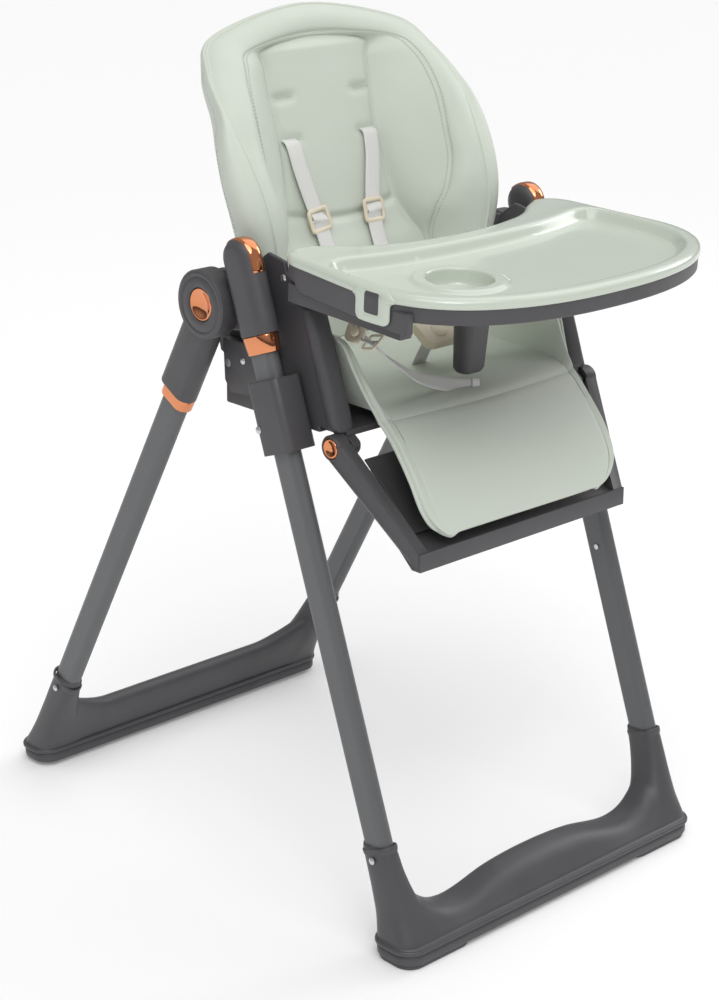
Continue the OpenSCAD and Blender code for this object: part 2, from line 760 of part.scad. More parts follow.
front_sled();
front_lower_tube(left);  // front_lower_tube_left
front_lower_tube(right);  // front_lower_tube_right
front_upper_tube(left);  // front_upper_tube_left
front_upper_tube(right);  // front_upper_tube_right
top_housing(left);  // top_housing_left
top_housing(right);  // top_housing_right
housing_strip(left);  // housing_strip_left
housing_strip(right);  // housing_strip_right
front_collar(left);  // front_collar_left
front_collar(right);  // front_collar_right
hinge_pins();
front_snap_pins();
front_sled_screws();
rear_sled();
rear_lower_tube(left);  // rear_lower_tube_left
rear_lower_tube(right);  // rear_lower_tube_right
rear_upper_tube(left);  // rear_upper_tube_left
rear_upper_tube(right);  // rear_upper_tube_right
hinge_sleeve(left);  // hinge_sleeve_left
hinge_sleeve(right);  // hinge_sleeve_right
rear_collar(left);  // rear_collar_left
rear_collar(right);  // rear_collar_right
rear_feet();
rear_snap_pins();
rear_sled_screws();
fold_springs();
fold_button(left);  // fold_button_left
fold_button(right);  // fold_button_right
slider_housing(left);  // slider_housing_left
slider_housing(right);  // slider_housing_right
seat_shell();
armrest(left);  // armrest_left
armrest(right);  // armrest_right
carriage_screws();
recline_pins();
seat_cushion();
crotch_strap();
waist_strap(left);  // waist_strap_left
waist_strap(right);  // waist_strap_right
waist_adjusters();
harness_buckle();
height_handle();
lock_pin(left);  // lock_pin_left
lock_pin(right);  // lock_pin_right
back_shell();
backrest_cushion();
shoulder_strap(left);  // shoulder_strap_left
shoulder_strap(right);  // shoulder_strap_right
shoulder_adjusters();
recline_handle();
footrest_frame();
calf_panel();
knee_flap();
footrest_button(left);  // footrest_button_left
footrest_button(right);  // footrest_button_right
tray_base();
tray_top();
crotch_post();
tray_release();
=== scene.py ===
"""Materials, soft goods and moulded details of a folding baby high chair, built round its CAD frame.

Lengths in the modelling code are millimetres in the chair's own frame (the chair faces -Y, +Z is up) and
become metres when a mesh is made. "left" is the -X side.
"""
import json
import math

import bmesh
import bpy
from mathutils import Matrix, Vector
from mathutils.geometry import delaunay_2d_cdt


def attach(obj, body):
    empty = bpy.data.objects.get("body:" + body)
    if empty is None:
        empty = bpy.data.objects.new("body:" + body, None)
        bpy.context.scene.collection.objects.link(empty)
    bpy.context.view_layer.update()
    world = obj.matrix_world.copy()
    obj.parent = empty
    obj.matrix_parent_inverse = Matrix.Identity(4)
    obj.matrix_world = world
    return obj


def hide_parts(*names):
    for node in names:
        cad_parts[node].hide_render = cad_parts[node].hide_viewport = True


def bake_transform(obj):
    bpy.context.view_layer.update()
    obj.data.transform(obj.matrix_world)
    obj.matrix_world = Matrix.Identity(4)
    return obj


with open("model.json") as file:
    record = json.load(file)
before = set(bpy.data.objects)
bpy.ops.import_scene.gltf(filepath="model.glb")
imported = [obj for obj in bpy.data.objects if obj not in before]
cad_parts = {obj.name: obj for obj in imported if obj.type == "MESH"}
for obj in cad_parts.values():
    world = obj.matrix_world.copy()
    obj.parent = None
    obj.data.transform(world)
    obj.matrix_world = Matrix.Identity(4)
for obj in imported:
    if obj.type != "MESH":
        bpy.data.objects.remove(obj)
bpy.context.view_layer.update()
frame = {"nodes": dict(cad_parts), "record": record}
NODES = frame["nodes"]
MM = 0.001
SIDES = (("left", -1), ("right", 1))

HINGE = (-8.0, 746.0)
RECLINE = (-10.0, 668.0)
FOOT_PIVOT = (-192.0, 602.0)
FRONT_LEAN = math.radians(19.3)
REAR_LEAN = math.radians(29.8)
BACK_LEAN = math.radians(14.5)
TRAY_TILT = math.radians(3.1)
FRONT_FOOT_Y = -342.0
TUBE_X = 239.0


# ------------------------------------------------------------------ camera, light, floor

SENSOR_HEIGHT = 36
FOCAL_LENGTH = 79.88
CAMERA_PLACE = (-1.8486, -2.0080, 1.3937)
CAMERA_AIM = (0.6450, 0.6937, -0.3204)
WORLD_STRENGTH = 0.46
LIGHT_TARGET = (0, 0, 0.7)
FLOOR_SIZE = 80


def add_camera():
    data = bpy.data.cameras.new("camera")
    data.sensor_fit = "VERTICAL"
    data.sensor_height = SENSOR_HEIGHT
    data.lens = FOCAL_LENGTH
    data.shift_x = -0.0106
    data.shift_y = -0.0242
    camera = bpy.data.objects.new("camera", data)
    bpy.context.scene.collection.objects.link(camera)
    camera.location = CAMERA_PLACE
    camera.rotation_euler = Vector(CAMERA_AIM).to_track_quat("-Z", "Y").to_euler()
    bpy.context.scene.camera = camera


def add_area(name, place, target, size, power):
    data = bpy.data.lights.new(name, "AREA")
    data.shape = "DISK"
    data.size = size
    data.energy = power
    light = bpy.data.objects.new(name, data)
    light.location = place
    light.rotation_euler = (Vector(target) - Vector(place)).to_track_quat("-Z", "Y").to_euler()
    bpy.context.scene.collection.objects.link(light)


def add_sun(name, toward, spread, strength):
    data = bpy.data.lights.new(name, "SUN")
    data.angle = math.radians(spread)
    data.energy = strength
    light = bpy.data.objects.new(name, data)
    light.rotation_euler = Vector(toward).to_track_quat("Z", "Y").to_euler()
    bpy.context.scene.collection.objects.link(light)


def add_studio():
    world = bpy.data.worlds.new("studio")
    world.use_nodes = True
    tree = world.node_tree
    background = tree.nodes["Background"]
    split = tree.nodes.new("ShaderNodeSeparateXYZ")
    tree.links.new(tree.nodes.new("ShaderNodeTexCoord").outputs["Generated"], split.inputs["Vector"])
    height = ramp(tree, split.outputs["Z"], 0.04, 0.9, -0.02, 0.3)
    tree.links.new(height, background.inputs["Color"])
    background.inputs["Strength"].default_value = WORLD_STRENGTH
    bpy.context.scene.world = world
    bpy.context.scene.view_settings.view_transform = "Standard"
    add_area("key", (-1.6, -2.2, 3.0), LIGHT_TARGET, 1.2, 16)
    add_area("side", (2.6, -0.6, 1.9), LIGHT_TARGET, 1.2, 12)
    add_sun("sun_left", (-0.50, -0.62, 1.25), 55, 1.35)
    add_sun("sun_right", (0.75, 0.05, 1.0), 60, 0.75)
    bpy.ops.mesh.primitive_plane_add(size=FLOOR_SIZE, location=(0, 0, 0))
    floor = bpy.context.object
    floor.name = "floor"
    material = bpy.data.materials.new("floor")
    material.use_nodes = True
    shader = material.node_tree.nodes["Principled BSDF"]
    shader.inputs["Base Color"].default_value = (0.86, 0.86, 0.86, 1)
    shader.inputs["Roughness"].default_value = 0.9
    shader.inputs["Emission Color"].default_value = (1, 1, 1, 1)
    shader.inputs["Emission Strength"].default_value = 0.14
    floor.data.materials.append(material)


# ------------------------------------------------------------------ materials

def new_material(name, color, roughness, metallic=0.0, coat=0.0, sheen=0.0, specular=0.5):
    material = bpy.data.materials.new(name)
    material.use_nodes = True
    shader = material.node_tree.nodes["Principled BSDF"]
    shader.inputs["Base Color"].default_value = (*color, 1)
    shader.inputs["Roughness"].default_value = roughness
    shader.inputs["Metallic"].default_value = metallic
    shader.inputs["Coat Weight"].default_value = coat
    shader.inputs["Coat Roughness"].default_value = 0.06
    shader.inputs["Sheen Weight"].default_value = sheen
    shader.inputs["Specular IOR Level"].default_value = specular
    return material, material.node_tree, shader


def coordinates(tree):
    return tree.nodes.new("ShaderNodeTexCoord").outputs["Object"]


def noise(tree, scale, detail=3.0):
    node = tree.nodes.new("ShaderNodeTexNoise")
    node.inputs["Scale"].default_value = scale
    node.inputs["Detail"].default_value = detail
    tree.links.new(coordinates(tree), node.inputs["Vector"])
    return node.outputs["Fac"]


def cell_edges(tree, scale):
    node = tree.nodes.new("ShaderNodeTexVoronoi")
    node.feature = "DISTANCE_TO_EDGE"
    node.inputs["Scale"].default_value = scale
    tree.links.new(coordinates(tree), node.inputs["Vector"])
    return node.outputs["Distance"]


def ramp(tree, value, low, high, start=0.0, end=1.0):
    node = tree.nodes.new("ShaderNodeMapRange")
    node.inputs["From Min"].default_value = start
    node.inputs["From Max"].default_value = end
    node.inputs["To Min"].default_value = low
    node.inputs["To Max"].default_value = high
    tree.links.new(value, node.inputs["Value"])
    return node.outputs["Result"]


def tint(tree, shader, value, dark, light):
    mix = tree.nodes.new("ShaderNodeMix")
    mix.data_type = "RGBA"
    mix.inputs["A"].default_value = (*dark, 1)
    mix.inputs["B"].default_value = (*light, 1)
    tree.links.new(value, mix.inputs["Factor"])
    tree.links.new(mix.outputs["Result"], shader.inputs["Base Color"])


def bump(tree, shader, height, strength, distance):
    node = tree.nodes.new("ShaderNodeBump")
    node.inputs["Strength"].default_value = strength
    node.inputs["Distance"].default_value = distance
    tree.links.new(height, node.inputs["Height"])
    tree.links.new(node.outputs["Normal"], shader.inputs["Normal"])
    return node


def mottle(tree, shader, scale, dark, light, detail=3.0, start=0.3, end=0.7):
    """Colour that wanders between two tints."""
    tint(tree, shader, ramp(tree, noise(tree, scale, detail), 0, 1, start, end), dark, light)


def vary_roughness(tree, shader, scale, low, high):
    tree.links.new(ramp(tree, noise(tree, scale), low, high), shader.inputs["Roughness"])


def plastic(name, color, roughness, grain=0.00012, scale=1500):
    """Moulded plastic with a spark-eroded grain and slight mottling."""
    material, tree, shader = new_material(name, color, roughness)
    mottle(tree, shader, 14, tuple(c * 0.93 for c in color), tuple(c * 1.07 for c in color))
    vary_roughness(tree, shader, 30, roughness - 0.05, roughness + 0.06)
    bump(tree, shader, noise(tree, scale, 2), 0.35, grain)
    return material


def leatherette():
    """Soft coated fabric: a fine pebble grain over slow, shallow waves."""
    material, tree, shader = new_material("mint_leatherette", (0.605, 0.650, 0.572), 0.48, sheen=0.06,
                                          specular=0.42)
    mottle(tree, shader, 9, (0.592, 0.638, 0.560), (0.618, 0.662, 0.584), detail=4)
    vary_roughness(tree, shader, 60, 0.42, 0.56)
    cells = bump(tree, shader, ramp(tree, cell_edges(tree, 850), 0, 1, 0, 0.35), 0.22, 0.00022)
    soft = tree.nodes.new("ShaderNodeBump")
    soft.inputs["Strength"].default_value = 0.25
    soft.inputs["Distance"].default_value = 0.0025
    tree.links.new(noise(tree, 22, 2), soft.inputs["Height"])
    tree.links.new(soft.outputs["Normal"], cells.inputs["Normal"])
    return material


def gloss_mint():
    material, tree, shader = new_material("mint_gloss", (0.565, 0.620, 0.535), 0.2, coat=0.6)
    mottle(tree, shader, 8, (0.557, 0.613, 0.528), (0.573, 0.627, 0.542))
    vary_roughness(tree, shader, 40, 0.17, 0.24)
    bump(tree, shader, noise(tree, 6, 1), 0.1, 0.0012)
    return material


def powder_coat():
    material, tree, shader = new_material("powder_coat", (0.125, 0.128, 0.132), 0.38, metallic=0.25)
    mottle(tree, shader, 500, (0.122, 0.125, 0.129), (0.131, 0.134, 0.138), 2, 0.35, 0.65)
    vary_roughness(tree, shader, 25, 0.33, 0.45)
    bump(tree, shader, noise(tree, 1100, 2), 0.25, 0.0001)
    return material


def copper():
    material, tree, shader = new_material("copper", (0.75, 0.29, 0.14), 0.1, metallic=1.0)
    vary_roughness(tree, shader, 50, 0.06, 0.14)
    bump(tree, shader, noise(tree, 18, 2), 0.15, 0.0006)
    return material


def metal(name, color, roughness):
    material, tree, shader = new_material(name, color, roughness, metallic=1.0)
    vary_roughness(tree, shader, 400, roughness - 0.08, roughness + 0.1)
    bump(tree, shader, noise(tree, 900, 2), 0.2, 0.00006)
    return material


def webbing():
    """Woven tape: ribs across the tape and yarns along it, laid out by the strap's own UVs."""
    material, tree, shader = new_material("webbing", (0.76, 0.755, 0.735), 0.75, sheen=0.2)
    uv = tree.nodes.new("ShaderNodeUVMap")
    heights = []
    for direction, scale in (("X", 260), ("Y", 340)):
        wave = tree.nodes.new("ShaderNodeTexWave")
        wave.bands_direction = direction
        wave.inputs["Scale"].default_value = scale
        wave.inputs["Distortion"].default_value = 0.6
        tree.links.new(uv.outputs["UV"], wave.inputs["Vector"])
        heights.append(wave.outputs["Fac"])
    both = tree.nodes.new("ShaderNodeMath")
    both.operation = "MULTIPLY"
    tree.links.new(heights[0], both.inputs[0])
    tree.links.new(heights[1], both.inputs[1])
    tint(tree, shader, both.outputs["Value"], (0.69, 0.685, 0.665), (0.80, 0.795, 0.78))
    bump(tree, shader, both.outputs["Value"], 0.5, 0.0003)
    return material


def thread():
    material, tree, shader = new_material("thread", (0.44, 0.49, 0.43), 0.7)
    bump(tree, shader, noise(tree, 2500, 2), 0.4, 0.0001)
    return material


MATERIALS = {
    "anthracite": plastic("anthracite", (0.068, 0.065, 0.070), 0.44),
    "anthracite_shadow": plastic("anthracite_shadow", (0.045, 0.043, 0.046), 0.5),
    "tube_grey": powder_coat(),
    "copper": copper(),
    "mint_leatherette": leatherette(),
    "mint_gloss": gloss_mint(),
    "webbing": webbing(),
    "cream_plastic": plastic("cream_plastic", (0.76, 0.68, 0.52), 0.3, 0.00004),
    "zinc": metal("zinc", (0.62, 0.63, 0.65), 0.3),
    "satin_steel": metal("satin_steel", (0.56, 0.55, 0.56), 0.28),
    "black_rubber": plastic("black_rubber", (0.02, 0.02, 0.021), 0.7),
    "thread": thread(),
}


# ------------------------------------------------------------------ mesh helpers

def mesh_piece(name, vertices, faces, material, body):
    mesh = bpy.data.meshes.new(name)
    mesh.from_pydata([Vector(v) * MM for v in vertices], [], faces)
    tidy = bmesh.new()
    tidy.from_mesh(mesh)
    bmesh.ops.remove_doubles(tidy, verts=tidy.verts, dist=1e-6)
    bmesh.ops.recalc_face_normals(tidy, faces=tidy.faces)
    tidy.to_mesh(mesh)
    tidy.free()
    piece = bpy.data.objects.new(name, mesh)
    bpy.context.scene.collection.objects.link(piece)
    piece.data.materials.append(MATERIALS[material])
    for polygon in mesh.polygons:
        polygon.use_smooth = True
    if body:
        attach(piece, body)
    return piece


def modifier(piece, kind, **values):
    item = piece.modifiers.new(kind.lower(), kind)
    for key, value in values.items():
        setattr(item, key, value)
    return item


def loft(rings, closed_ring=True, closed_path=False, cap=False):
    """Vertices and quads over equal-length rings of points."""
    count = len(rings[0])
    vertices = [point for ring in rings for point in ring]
    faces = []
    spans = len(rings) if closed_path else len(rings) - 1
    steps = count if closed_ring else count - 1
    for i in range(spans):
        for j in range(steps):
            k = (j + 1) % count
            n = (i + 1) % len(rings)
            faces.append((i * count + j, i * count + k, n * count + k, n * count + j))
    if cap and not closed_path:
        faces.append(tuple(range(count))[::-1])
        faces.append(tuple((len(rings) - 1) * count + j for j in range(count)))
    return vertices, faces


def loft_piece(name, rings, material, body, node=None, **options):
    """A lofted piece, which may take the place of a CAD node."""
    vertices, faces = loft(rings, **options)
    piece = mesh_piece(name, vertices, faces, material, body)
    if node:
        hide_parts(node)
    return piece


def join_meshes(parts):
    """One list of vertices and one of faces from several."""
    vertices, faces = [], []
    for part_vertices, part_faces in parts:
        base = len(vertices)
        vertices += part_vertices
        faces += [tuple(base + i for i in face) for face in part_faces]
    return vertices, faces


def arc(centre, radius, start, step, count):
    """Points of a circular arc, with its angles in degrees."""
    angles = [math.radians(start + step * k) for k in range(count)]
    return [Vector((centre[0] + radius * math.cos(t), centre[1] + radius * math.sin(t))) for t in angles]


def rounded_rectangle(centre, half_x, half_y, radius, steps, inset=0.0):
    """Counter-clockwise outline with quarter-circle corners, moved inwards by inset."""
    points = []
    for x, y, start in ((1, 1, 0), (-1, 1, 90), (-1, -1, 180), (1, -1, 270)):
        corner = (centre[0] + x * (half_x - radius), centre[1] + y * (half_y - radius))
        points += arc(corner, radius - inset, start, 90 / steps, steps + 1)
    return points


def spline(points, steps):
    """Catmull-Rom curve through the points, with steps spans between neighbours."""
    points = [Vector(p) for p in points]
    padded = [points[0] * 2 - points[1]] + points + [points[-1] * 2 - points[-2]]
    result = []
    for i in range(1, len(padded) - 2):
        a, b, c, d = padded[i - 1:i + 3]
        for s in range(steps):
            t = s / steps
            result.append(0.5 * ((2 * b) + (c - a) * t + (2 * a - 5 * b + 4 * c - d) * t * t
                                 + (3 * b - a - 3 * c + d) * t ** 3))
    result.append(points[-1])
    return result


def resample(points, pitch):
    """Points at an even pitch along a polyline, with their unit directions."""
    result = []
    carry = 0.0
    for a, b in zip(points, points[1:]):
        length = (b - a).length
        if length < 1e-9:
            continue
        direction = (b - a) / length
        s = carry
        while s < length:
            result.append((a + direction * s, direction))
            s += pitch
        carry = s - length
    return result


def piping(name, points, radius, material, body, sides=10):
    """Round cord along a polyline, with a steady frame."""
    count = len(points)
    rings = []
    up = None
    for i in range(count):
        direction = (points[min(i + 1, count - 1)] - points[max(i - 1, 0)]).normalized()
        if up is None:
            up = direction.orthogonal().normalized()
        up = (up - direction * up.dot(direction)).normalized()
        side = direction.cross(up)
        rings.append([points[i] + (up * math.cos(2 * math.pi * j / sides)
                                   + side * math.sin(2 * math.pi * j / sides)) * radius for j in range(sides)])
    return loft_piece(name, rings, material, body, cap=True)


def stitches(name, points, body, pitch=4.6, length=3.1, radius=0.42):
    """A run of separate stitches along a line of points."""
    vertices = []
    faces = []
    for place, direction in resample(points, pitch):
        side = direction.orthogonal().normalized()
        up = direction.cross(side)
        base = len(vertices)
        for along, wide in ((-0.5, 0.35), (-0.3, 1.0), (0.3, 1.0), (0.5, 0.35)):
            for j in range(5):
                angle = 2 * math.pi * j / 5
                vertices.append(place + direction * along * length
                                + (side * math.cos(angle) + up * math.sin(angle)) * radius * wide)
        for ring in range(3):
            for j in range(5):
                k = (j + 1) % 5
                faces.append((base + ring * 5 + j, base + ring * 5 + k,
                              base + ring * 5 + 5 + k, base + ring * 5 + 5 + j))
        faces.append(tuple(base + j for j in range(5))[::-1])
        faces.append(tuple(base + 15 + j for j in range(5)))
    return mesh_piece(name, vertices, faces, "thread", body)


def softened(node, body, material, width):
    """The CAD solid with its moulded edges rounded over."""
    source = NODES[node]
    piece = bpy.data.objects.new("soft_" + node, source.data.copy())
    bpy.context.scene.collection.objects.link(piece)
    tidy = bmesh.new()
    tidy.from_mesh(piece.data)
    bmesh.ops.remove_doubles(tidy, verts=tidy.verts, dist=2e-6)
    bmesh.ops.dissolve_limit(tidy, angle_limit=math.radians(1.5), verts=tidy.verts, edges=tidy.edges)
    tidy.to_mesh(piece.data)
    tidy.free()
    piece.data.materials.clear()
    piece.data.materials.append(MATERIALS[material])
    for polygon in piece.data.polygons:
        polygon.use_smooth = True
    modifier(piece, "BEVEL", width=width * MM, segments=3, limit_method="ANGLE",
             angle_limit=math.radians(32), harden_normals=True, use_clamp_overlap=True,
             miter_outer="MITER_ARC")
    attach(piece, body)
    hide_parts(node)


def lean_frame(y, z, lean):
    """Matrix of a frame at (0, y, z) whose +Z leans by lean towards +Y."""
    return Matrix.Translation((0, y, z)) @ Matrix.Rotation(-lean, 4, "X")


ON_BACK = lean_frame(*RECLINE, BACK_LEAN)
ON_TRAY = Matrix.Translation((0, -147, 812)) @ Matrix.Rotation(TRAY_TILT, 4, "X")


def front_axis_y(z):
    return FRONT_FOOT_Y + z * math.tan(FRONT_LEAN)


def rear_axis_y(z):
    return HINGE[0] + (HINGE[1] - z) * math.tan(REAR_LEAN)


def on_front(z):
    return lean_frame(front_axis_y(z), z, FRONT_LEAN)


def on_rear(z):
    return lean_frame(rear_axis_y(z), z, -REAR_LEAN)


def smoothstep(t):
    t = max(0.0, min(1.0, t))
    return t * t * (3 - 2 * t)


# ------------------------------------------------------------------ backrest cover

# Rails of the right half from the seat up to the top centre, (across, -out of the panel, up the panel)
RAIL_SEAM = [(128, 0, 0), (128, -5, 60), (123, -6, 102), (107, -1, 131), (93, 2, 163), (84, 3, 221),
             (83, 4, 265),
             (86, 4, 305), (86, 3, 338), (84, 1.5, 362), (0, 4, 373)]
RAIL_STITCH = [(136, -6, 2), (134, -13, 60), (129, -12, 101), (129, -34, 135), (139, -46, 157),
               (151, -50, 190),
               (153, -49, 224), (152, -45, 284), (140, -30, 335), (112, -10, 361), (0, 3.4, 377)]
RAIL_PIPING = [(158, -18, 4), (167, -48, 55), (175, -66, 96), (181, -77, 135), (184, -78, 172),
               (187, -72, 210),
               (191, -60, 250), (193, -45, 288), (183, -15, 342), (147, 7.5, 384), (0, 13, 413)]
RAIL_BULGE = [(166, -18, 4), (183, -38, 55), (197, -48, 96), (208, -54, 135), (215, -56, 170),
              (218, -52, 212),
              (213, -46, 255), (201, -38, 288), (187, -8, 343), (150, 12, 387), (0, 17, 415)]
RAIL_REAR = [(146, 20, 4), (152, 20, 55), (157, 20, 96), (161, 20, 135), (163, 20, 170), (166, 20, 212),
             (167, 21, 255), (168, 22, 288), (170, 22, 340), (138, 23, 379), (0, 24, 404)]
RAIL_STEPS = 10
CONTOUR_SEAM = 6      # place of the contour seam in a section
PANEL_COLUMNS = 60
PANEL_TOP = 371       # height at which the centre panel's padding ends
SLOT_HEIGHTS = (302, 248)
SLOT_X = 65
SLOT_HALF = 13


def full_rail(half):
    """Mirrors a right-hand rail into one run from the left foot over the top to the right foot."""
    curve = spline(half + [(-half[-2][0], half[-2][1], half[-2][2])],
                   RAIL_STEPS)[:RAIL_STEPS * (len(half) - 1) + 1]
    left = [Vector((-p.x, p.y, p.z)) for p in curve[:-1]]
    return left + curve[::-1]


def back_sections():
    seam, stitch, pipe, bulge, rear = map(full_rail, (RAIL_SEAM, RAIL_STITCH, RAIL_PIPING, RAIL_BULGE,
                                                      RAIL_REAR))
    sections = []
    count = len(seam)
    for i in range(count):
        ahead = pipe[min(i + 1, count - 1)] - pipe[max(i - 1, 0)]
        across = pipe[i] - stitch[i]
        out = across.cross(ahead).normalized()
        if out.y > 0:
            out = -out
        section = [seam[i] + Vector((0, 1.6, 0))]
        fill = 5.0 * min(1.0, (stitch[i] - seam[i]).length / 45)
        for t in (0.12, 0.3, 0.5, 0.7, 0.88):
            section.append(seam[i].lerp(stitch[i], t) + out * fill * math.sin(math.pi * t) ** 0.7)
        section.append(stitch[i] + Vector((0, 1.0, 0)))
        for t in (0.07, 0.18, 0.34, 0.5, 0.66, 0.82, 0.93):
            section.append(stitch[i].lerp(pipe[i], t) + out * 9.0 * math.sin(math.pi * t) ** 0.62)
        section.append(pipe[i].copy())
        for t in (0.1, 0.3, 0.5, 0.7, 0.9):
            flat = pipe[i].lerp(rear[i], t)
            middle = pipe[i].lerp(rear[i], 0.5)
            section.append(flat + (bulge[i] - middle) * math.sin(math.pi * t) ** 0.7)
        section.append(rear[i].copy())
        sections.append(section)
    return sections


def panel_depth(x, up):
    """How far the centre panel's padding stands off its flat plane."""
    puff = 5.5 * (1 - abs(x) / 130) ** 0.5 if abs(x) < 130 else 0.0
    seam_up = 146 + 13 * (x / 90) ** 2
    groove = 6.5 * math.exp(-((up - seam_up) / 4.5) ** 2)
    for slot_up in SLOT_HEIGHTS:
        groove += 4.5 * (math.exp(-((abs(x) - SLOT_X) / 20) ** 4) * math.exp(-((up - slot_up) / 6.0) ** 2))
    return puff - groove


def build_back_cover():
    sections = back_sections()
    vertices, faces = loft(sections, closed_ring=False)
    count = len(sections)
    half = count // 2
    across = PANEL_COLUMNS
    rows = []
    for i in range(half + 1):
        left = sections[i][0]
        right = sections[count - 1 - i][0]
        rows.append([left.lerp(right, j / across) for j in range(across + 1)])
    for row in rows:
        for j, p in enumerate(row):
            edge = smoothstep(min(j, across - j) / 4)
            p.y -= panel_depth(p.x, p.z) * edge * smoothstep((PANEL_TOP - p.z) / 14)
    vertices, faces = join_meshes([(vertices, faces), loft(rows, closed_ring=False)])
    # back of the cover, behind the shell
    rear = [section[-1] for section in sections]
    base = len(vertices)
    centre = Vector((0, 24, 200))
    for ring in (0.86, 0.5):
        vertices += [centre.lerp(p, ring) for p in rear]
    start = [i * len(sections[0]) + len(sections[0]) - 1 for i in range(count)]
    for i in range(count - 1):
        faces.append((start[i], start[i + 1], base + i + 1, base + i))
        faces.append((base + i, base + i + 1, base + count + i + 1, base + count + i))
    faces.append(tuple(base + count + i for i in range(count)))
    piece = mesh_piece("back_cover", [ON_BACK @ Vector(v) for v in vertices], faces, "mint_leatherette",
                       "backrest")
    modifier(piece, "SUBSURF", levels=1, render_levels=1)
    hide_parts("backrest_cushion")
    pipe = [ON_BACK @ p for p in full_rail(RAIL_PIPING)]
    piping("back_piping", pipe, 2.4, "mint_leatherette", "backrest")
    for label, side in (("inner", -1), ("outer", 1)):
        line = []
        for section in sections:
            seam = section[CONTOUR_SEAM]
            toward = section[CONTOUR_SEAM + side] - seam
            line.append(ON_BACK @ (seam + toward.normalized() * 4.2 + Vector((0, -0.7, 0))))
        stitches("back_stitch_" + label, line, "backrest")
    line = [ON_BACK @ (s[CONTOUR_SEAM] + Vector((0, 0.2, 0))) for s in sections]
    piping("back_contour_seam", line, 0.9, "mint_leatherette", "backrest")
    for name, line in (("left", sections[8:count // 2 - 6]), ("right", sections[count // 2 + 7:-8])):
        stitches(f"back_panel_stitch_{name}", [ON_BACK @ (s[0] + Vector((0, -1.2, 0))) for s in line],
                 "backrest", 3.4, 2.2, 0.4)
    side = [ON_BACK @ (s[-3] + (s[-3] - s[-5]).cross(Vector((0, 0, 1))).normalized() * 0.2) for s in sections]
    stitches("back_stitch_side", side, "backrest")
    for name, sign in SIDES:
        for up in SLOT_HEIGHTS:
            line = []
            for k in range(15):
                x = sign * (SLOT_X + SLOT_HALF * (k / 7 - 1))
                line.append(ON_BACK @ Vector((x, 1.4 - panel_depth(x, up) * 0.95, up + 0.5)))
            stitches(f"slot_{name}_{up}", line, "backrest", 3.2, 2.4, 0.8)


# ------------------------------------------------------------------ seat and knee flap cover

# Stations from under the backrest forward and down the calf:
# centre, at |x| 140, foot of the side pad, piped edge
SEAT_STATIONS = [
    [(0, -4, 664), (140, -4, 664), (160, -6, 664), (176, -14, 680)],
    [(0, -22, 644), (140, -22, 645), (162, -24, 652), (181, -30, 706)],
    [(0, -60, 638), (140, -60, 639), (162, -62, 648), (182, -60, 725)],
    [(0, -115, 636), (140, -116, 637), (162, -118, 646), (182, -120, 723)],
    [(0, -155, 635), (140, -158, 636), (162, -161, 644), (180, -164, 716)],
    [(0, -185, 634), (140, -186, 634), (160, -187, 641), (176, -183, 684)],
    [(0, -207, 630), (140, -204, 630), (157, -202, 635), (170, -197, 655)],
    [(0, -222, 621), (138, -217, 622), (153, -216, 623), (164, -214, 628)],
    [(0, -245, 597), (138, -238, 601), (153, -237, 602), (163, -237, 603)],
    [(0, -272, 562), (138, -266, 567), (153, -265, 567), (165, -266, 568)],
    [(0, -287, 532), (138, -284, 536), (152, -283, 536), (163, -283, 536)],
    [(0, -293, 512), (130, -291, 514), (142, -290, 515), (152, -290, 515)],
    [(0, -295, 502), (110, -294, 502), (122, -292, 503), (131, -291, 503)],
]


SEAT_STEPS = 7        # curve points between stations, and between a station's points
KNEE_SEAM = 7         # station of the seam at the front of the seat


def blend_at_knee(piece):
    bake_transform(piece)


def build_seat_cover():
    stations = []
    for station in SEAT_STATIONS:
        centre, middle, foot, edge = map(Vector, station)
        mirrored = Vector((-middle.x, middle.y, middle.z))
        half = spline([mirrored, centre, middle, foot, edge], SEAT_STEPS)[SEAT_STEPS:]
        stations.append([Vector((-p.x, p.y, p.z)) for p in half[:0:-1]] + half)
    columns = len(stations[0])
    rows = list(zip(*(spline([row[j] for row in stations], SEAT_STEPS) for j in range(columns))))
    seam_row = KNEE_SEAM * SEAT_STEPS
    for i, row in enumerate(rows):
        for j, p in enumerate(row):
            crease = math.exp(-((i - seam_row) / 0.9) ** 2)
            inside = smoothstep((columns / 2 - abs(j - columns / 2)) / 6)
            fold = 1.6 * math.sin(i * 0.35 + j * 0.22) * smoothstep((i - 60) / 25) * inside
            p.z -= 2.2 * crease - 0.5 * fold
    piece = loft_piece("seat_cover", rows, "mint_leatherette", None, closed_ring=False)
    modifier(piece, "SOLIDIFY", thickness=9 * MM, offset=-1.0, use_rim=True, use_quality_normals=True)
    modifier(piece, "SUBSURF", levels=1, render_levels=1)
    blend_at_knee(piece)
    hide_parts("seat_cushion", "knee_flap")
    outline = [row[0] for row in rows] + list(rows[-1][1:-1]) + [row[-1] for row in rows[::-1]]
    blend_at_knee(piping("seat_piping", outline, 2.6, "mint_leatherette", None))
    foot = list(rows[-3][3:columns - 3])
    inner = [row[2] for row in rows[:-2]] + foot + [row[-3] for row in rows[:-2]][::-1]
    blend_at_knee(stitches("seat_stitch", [p + Vector((0, -0.25, 0.6)) for p in inner], None))
    for name, offset in (("rear", -1), ("front", 1)):
        line = [p + Vector((0, -0.6, 1.0)) for p in rows[seam_row + offset][5:-5]]
        blend_at_knee(stitches(f"knee_stitch_{name}", line, None))


# ------------------------------------------------------------------ tray

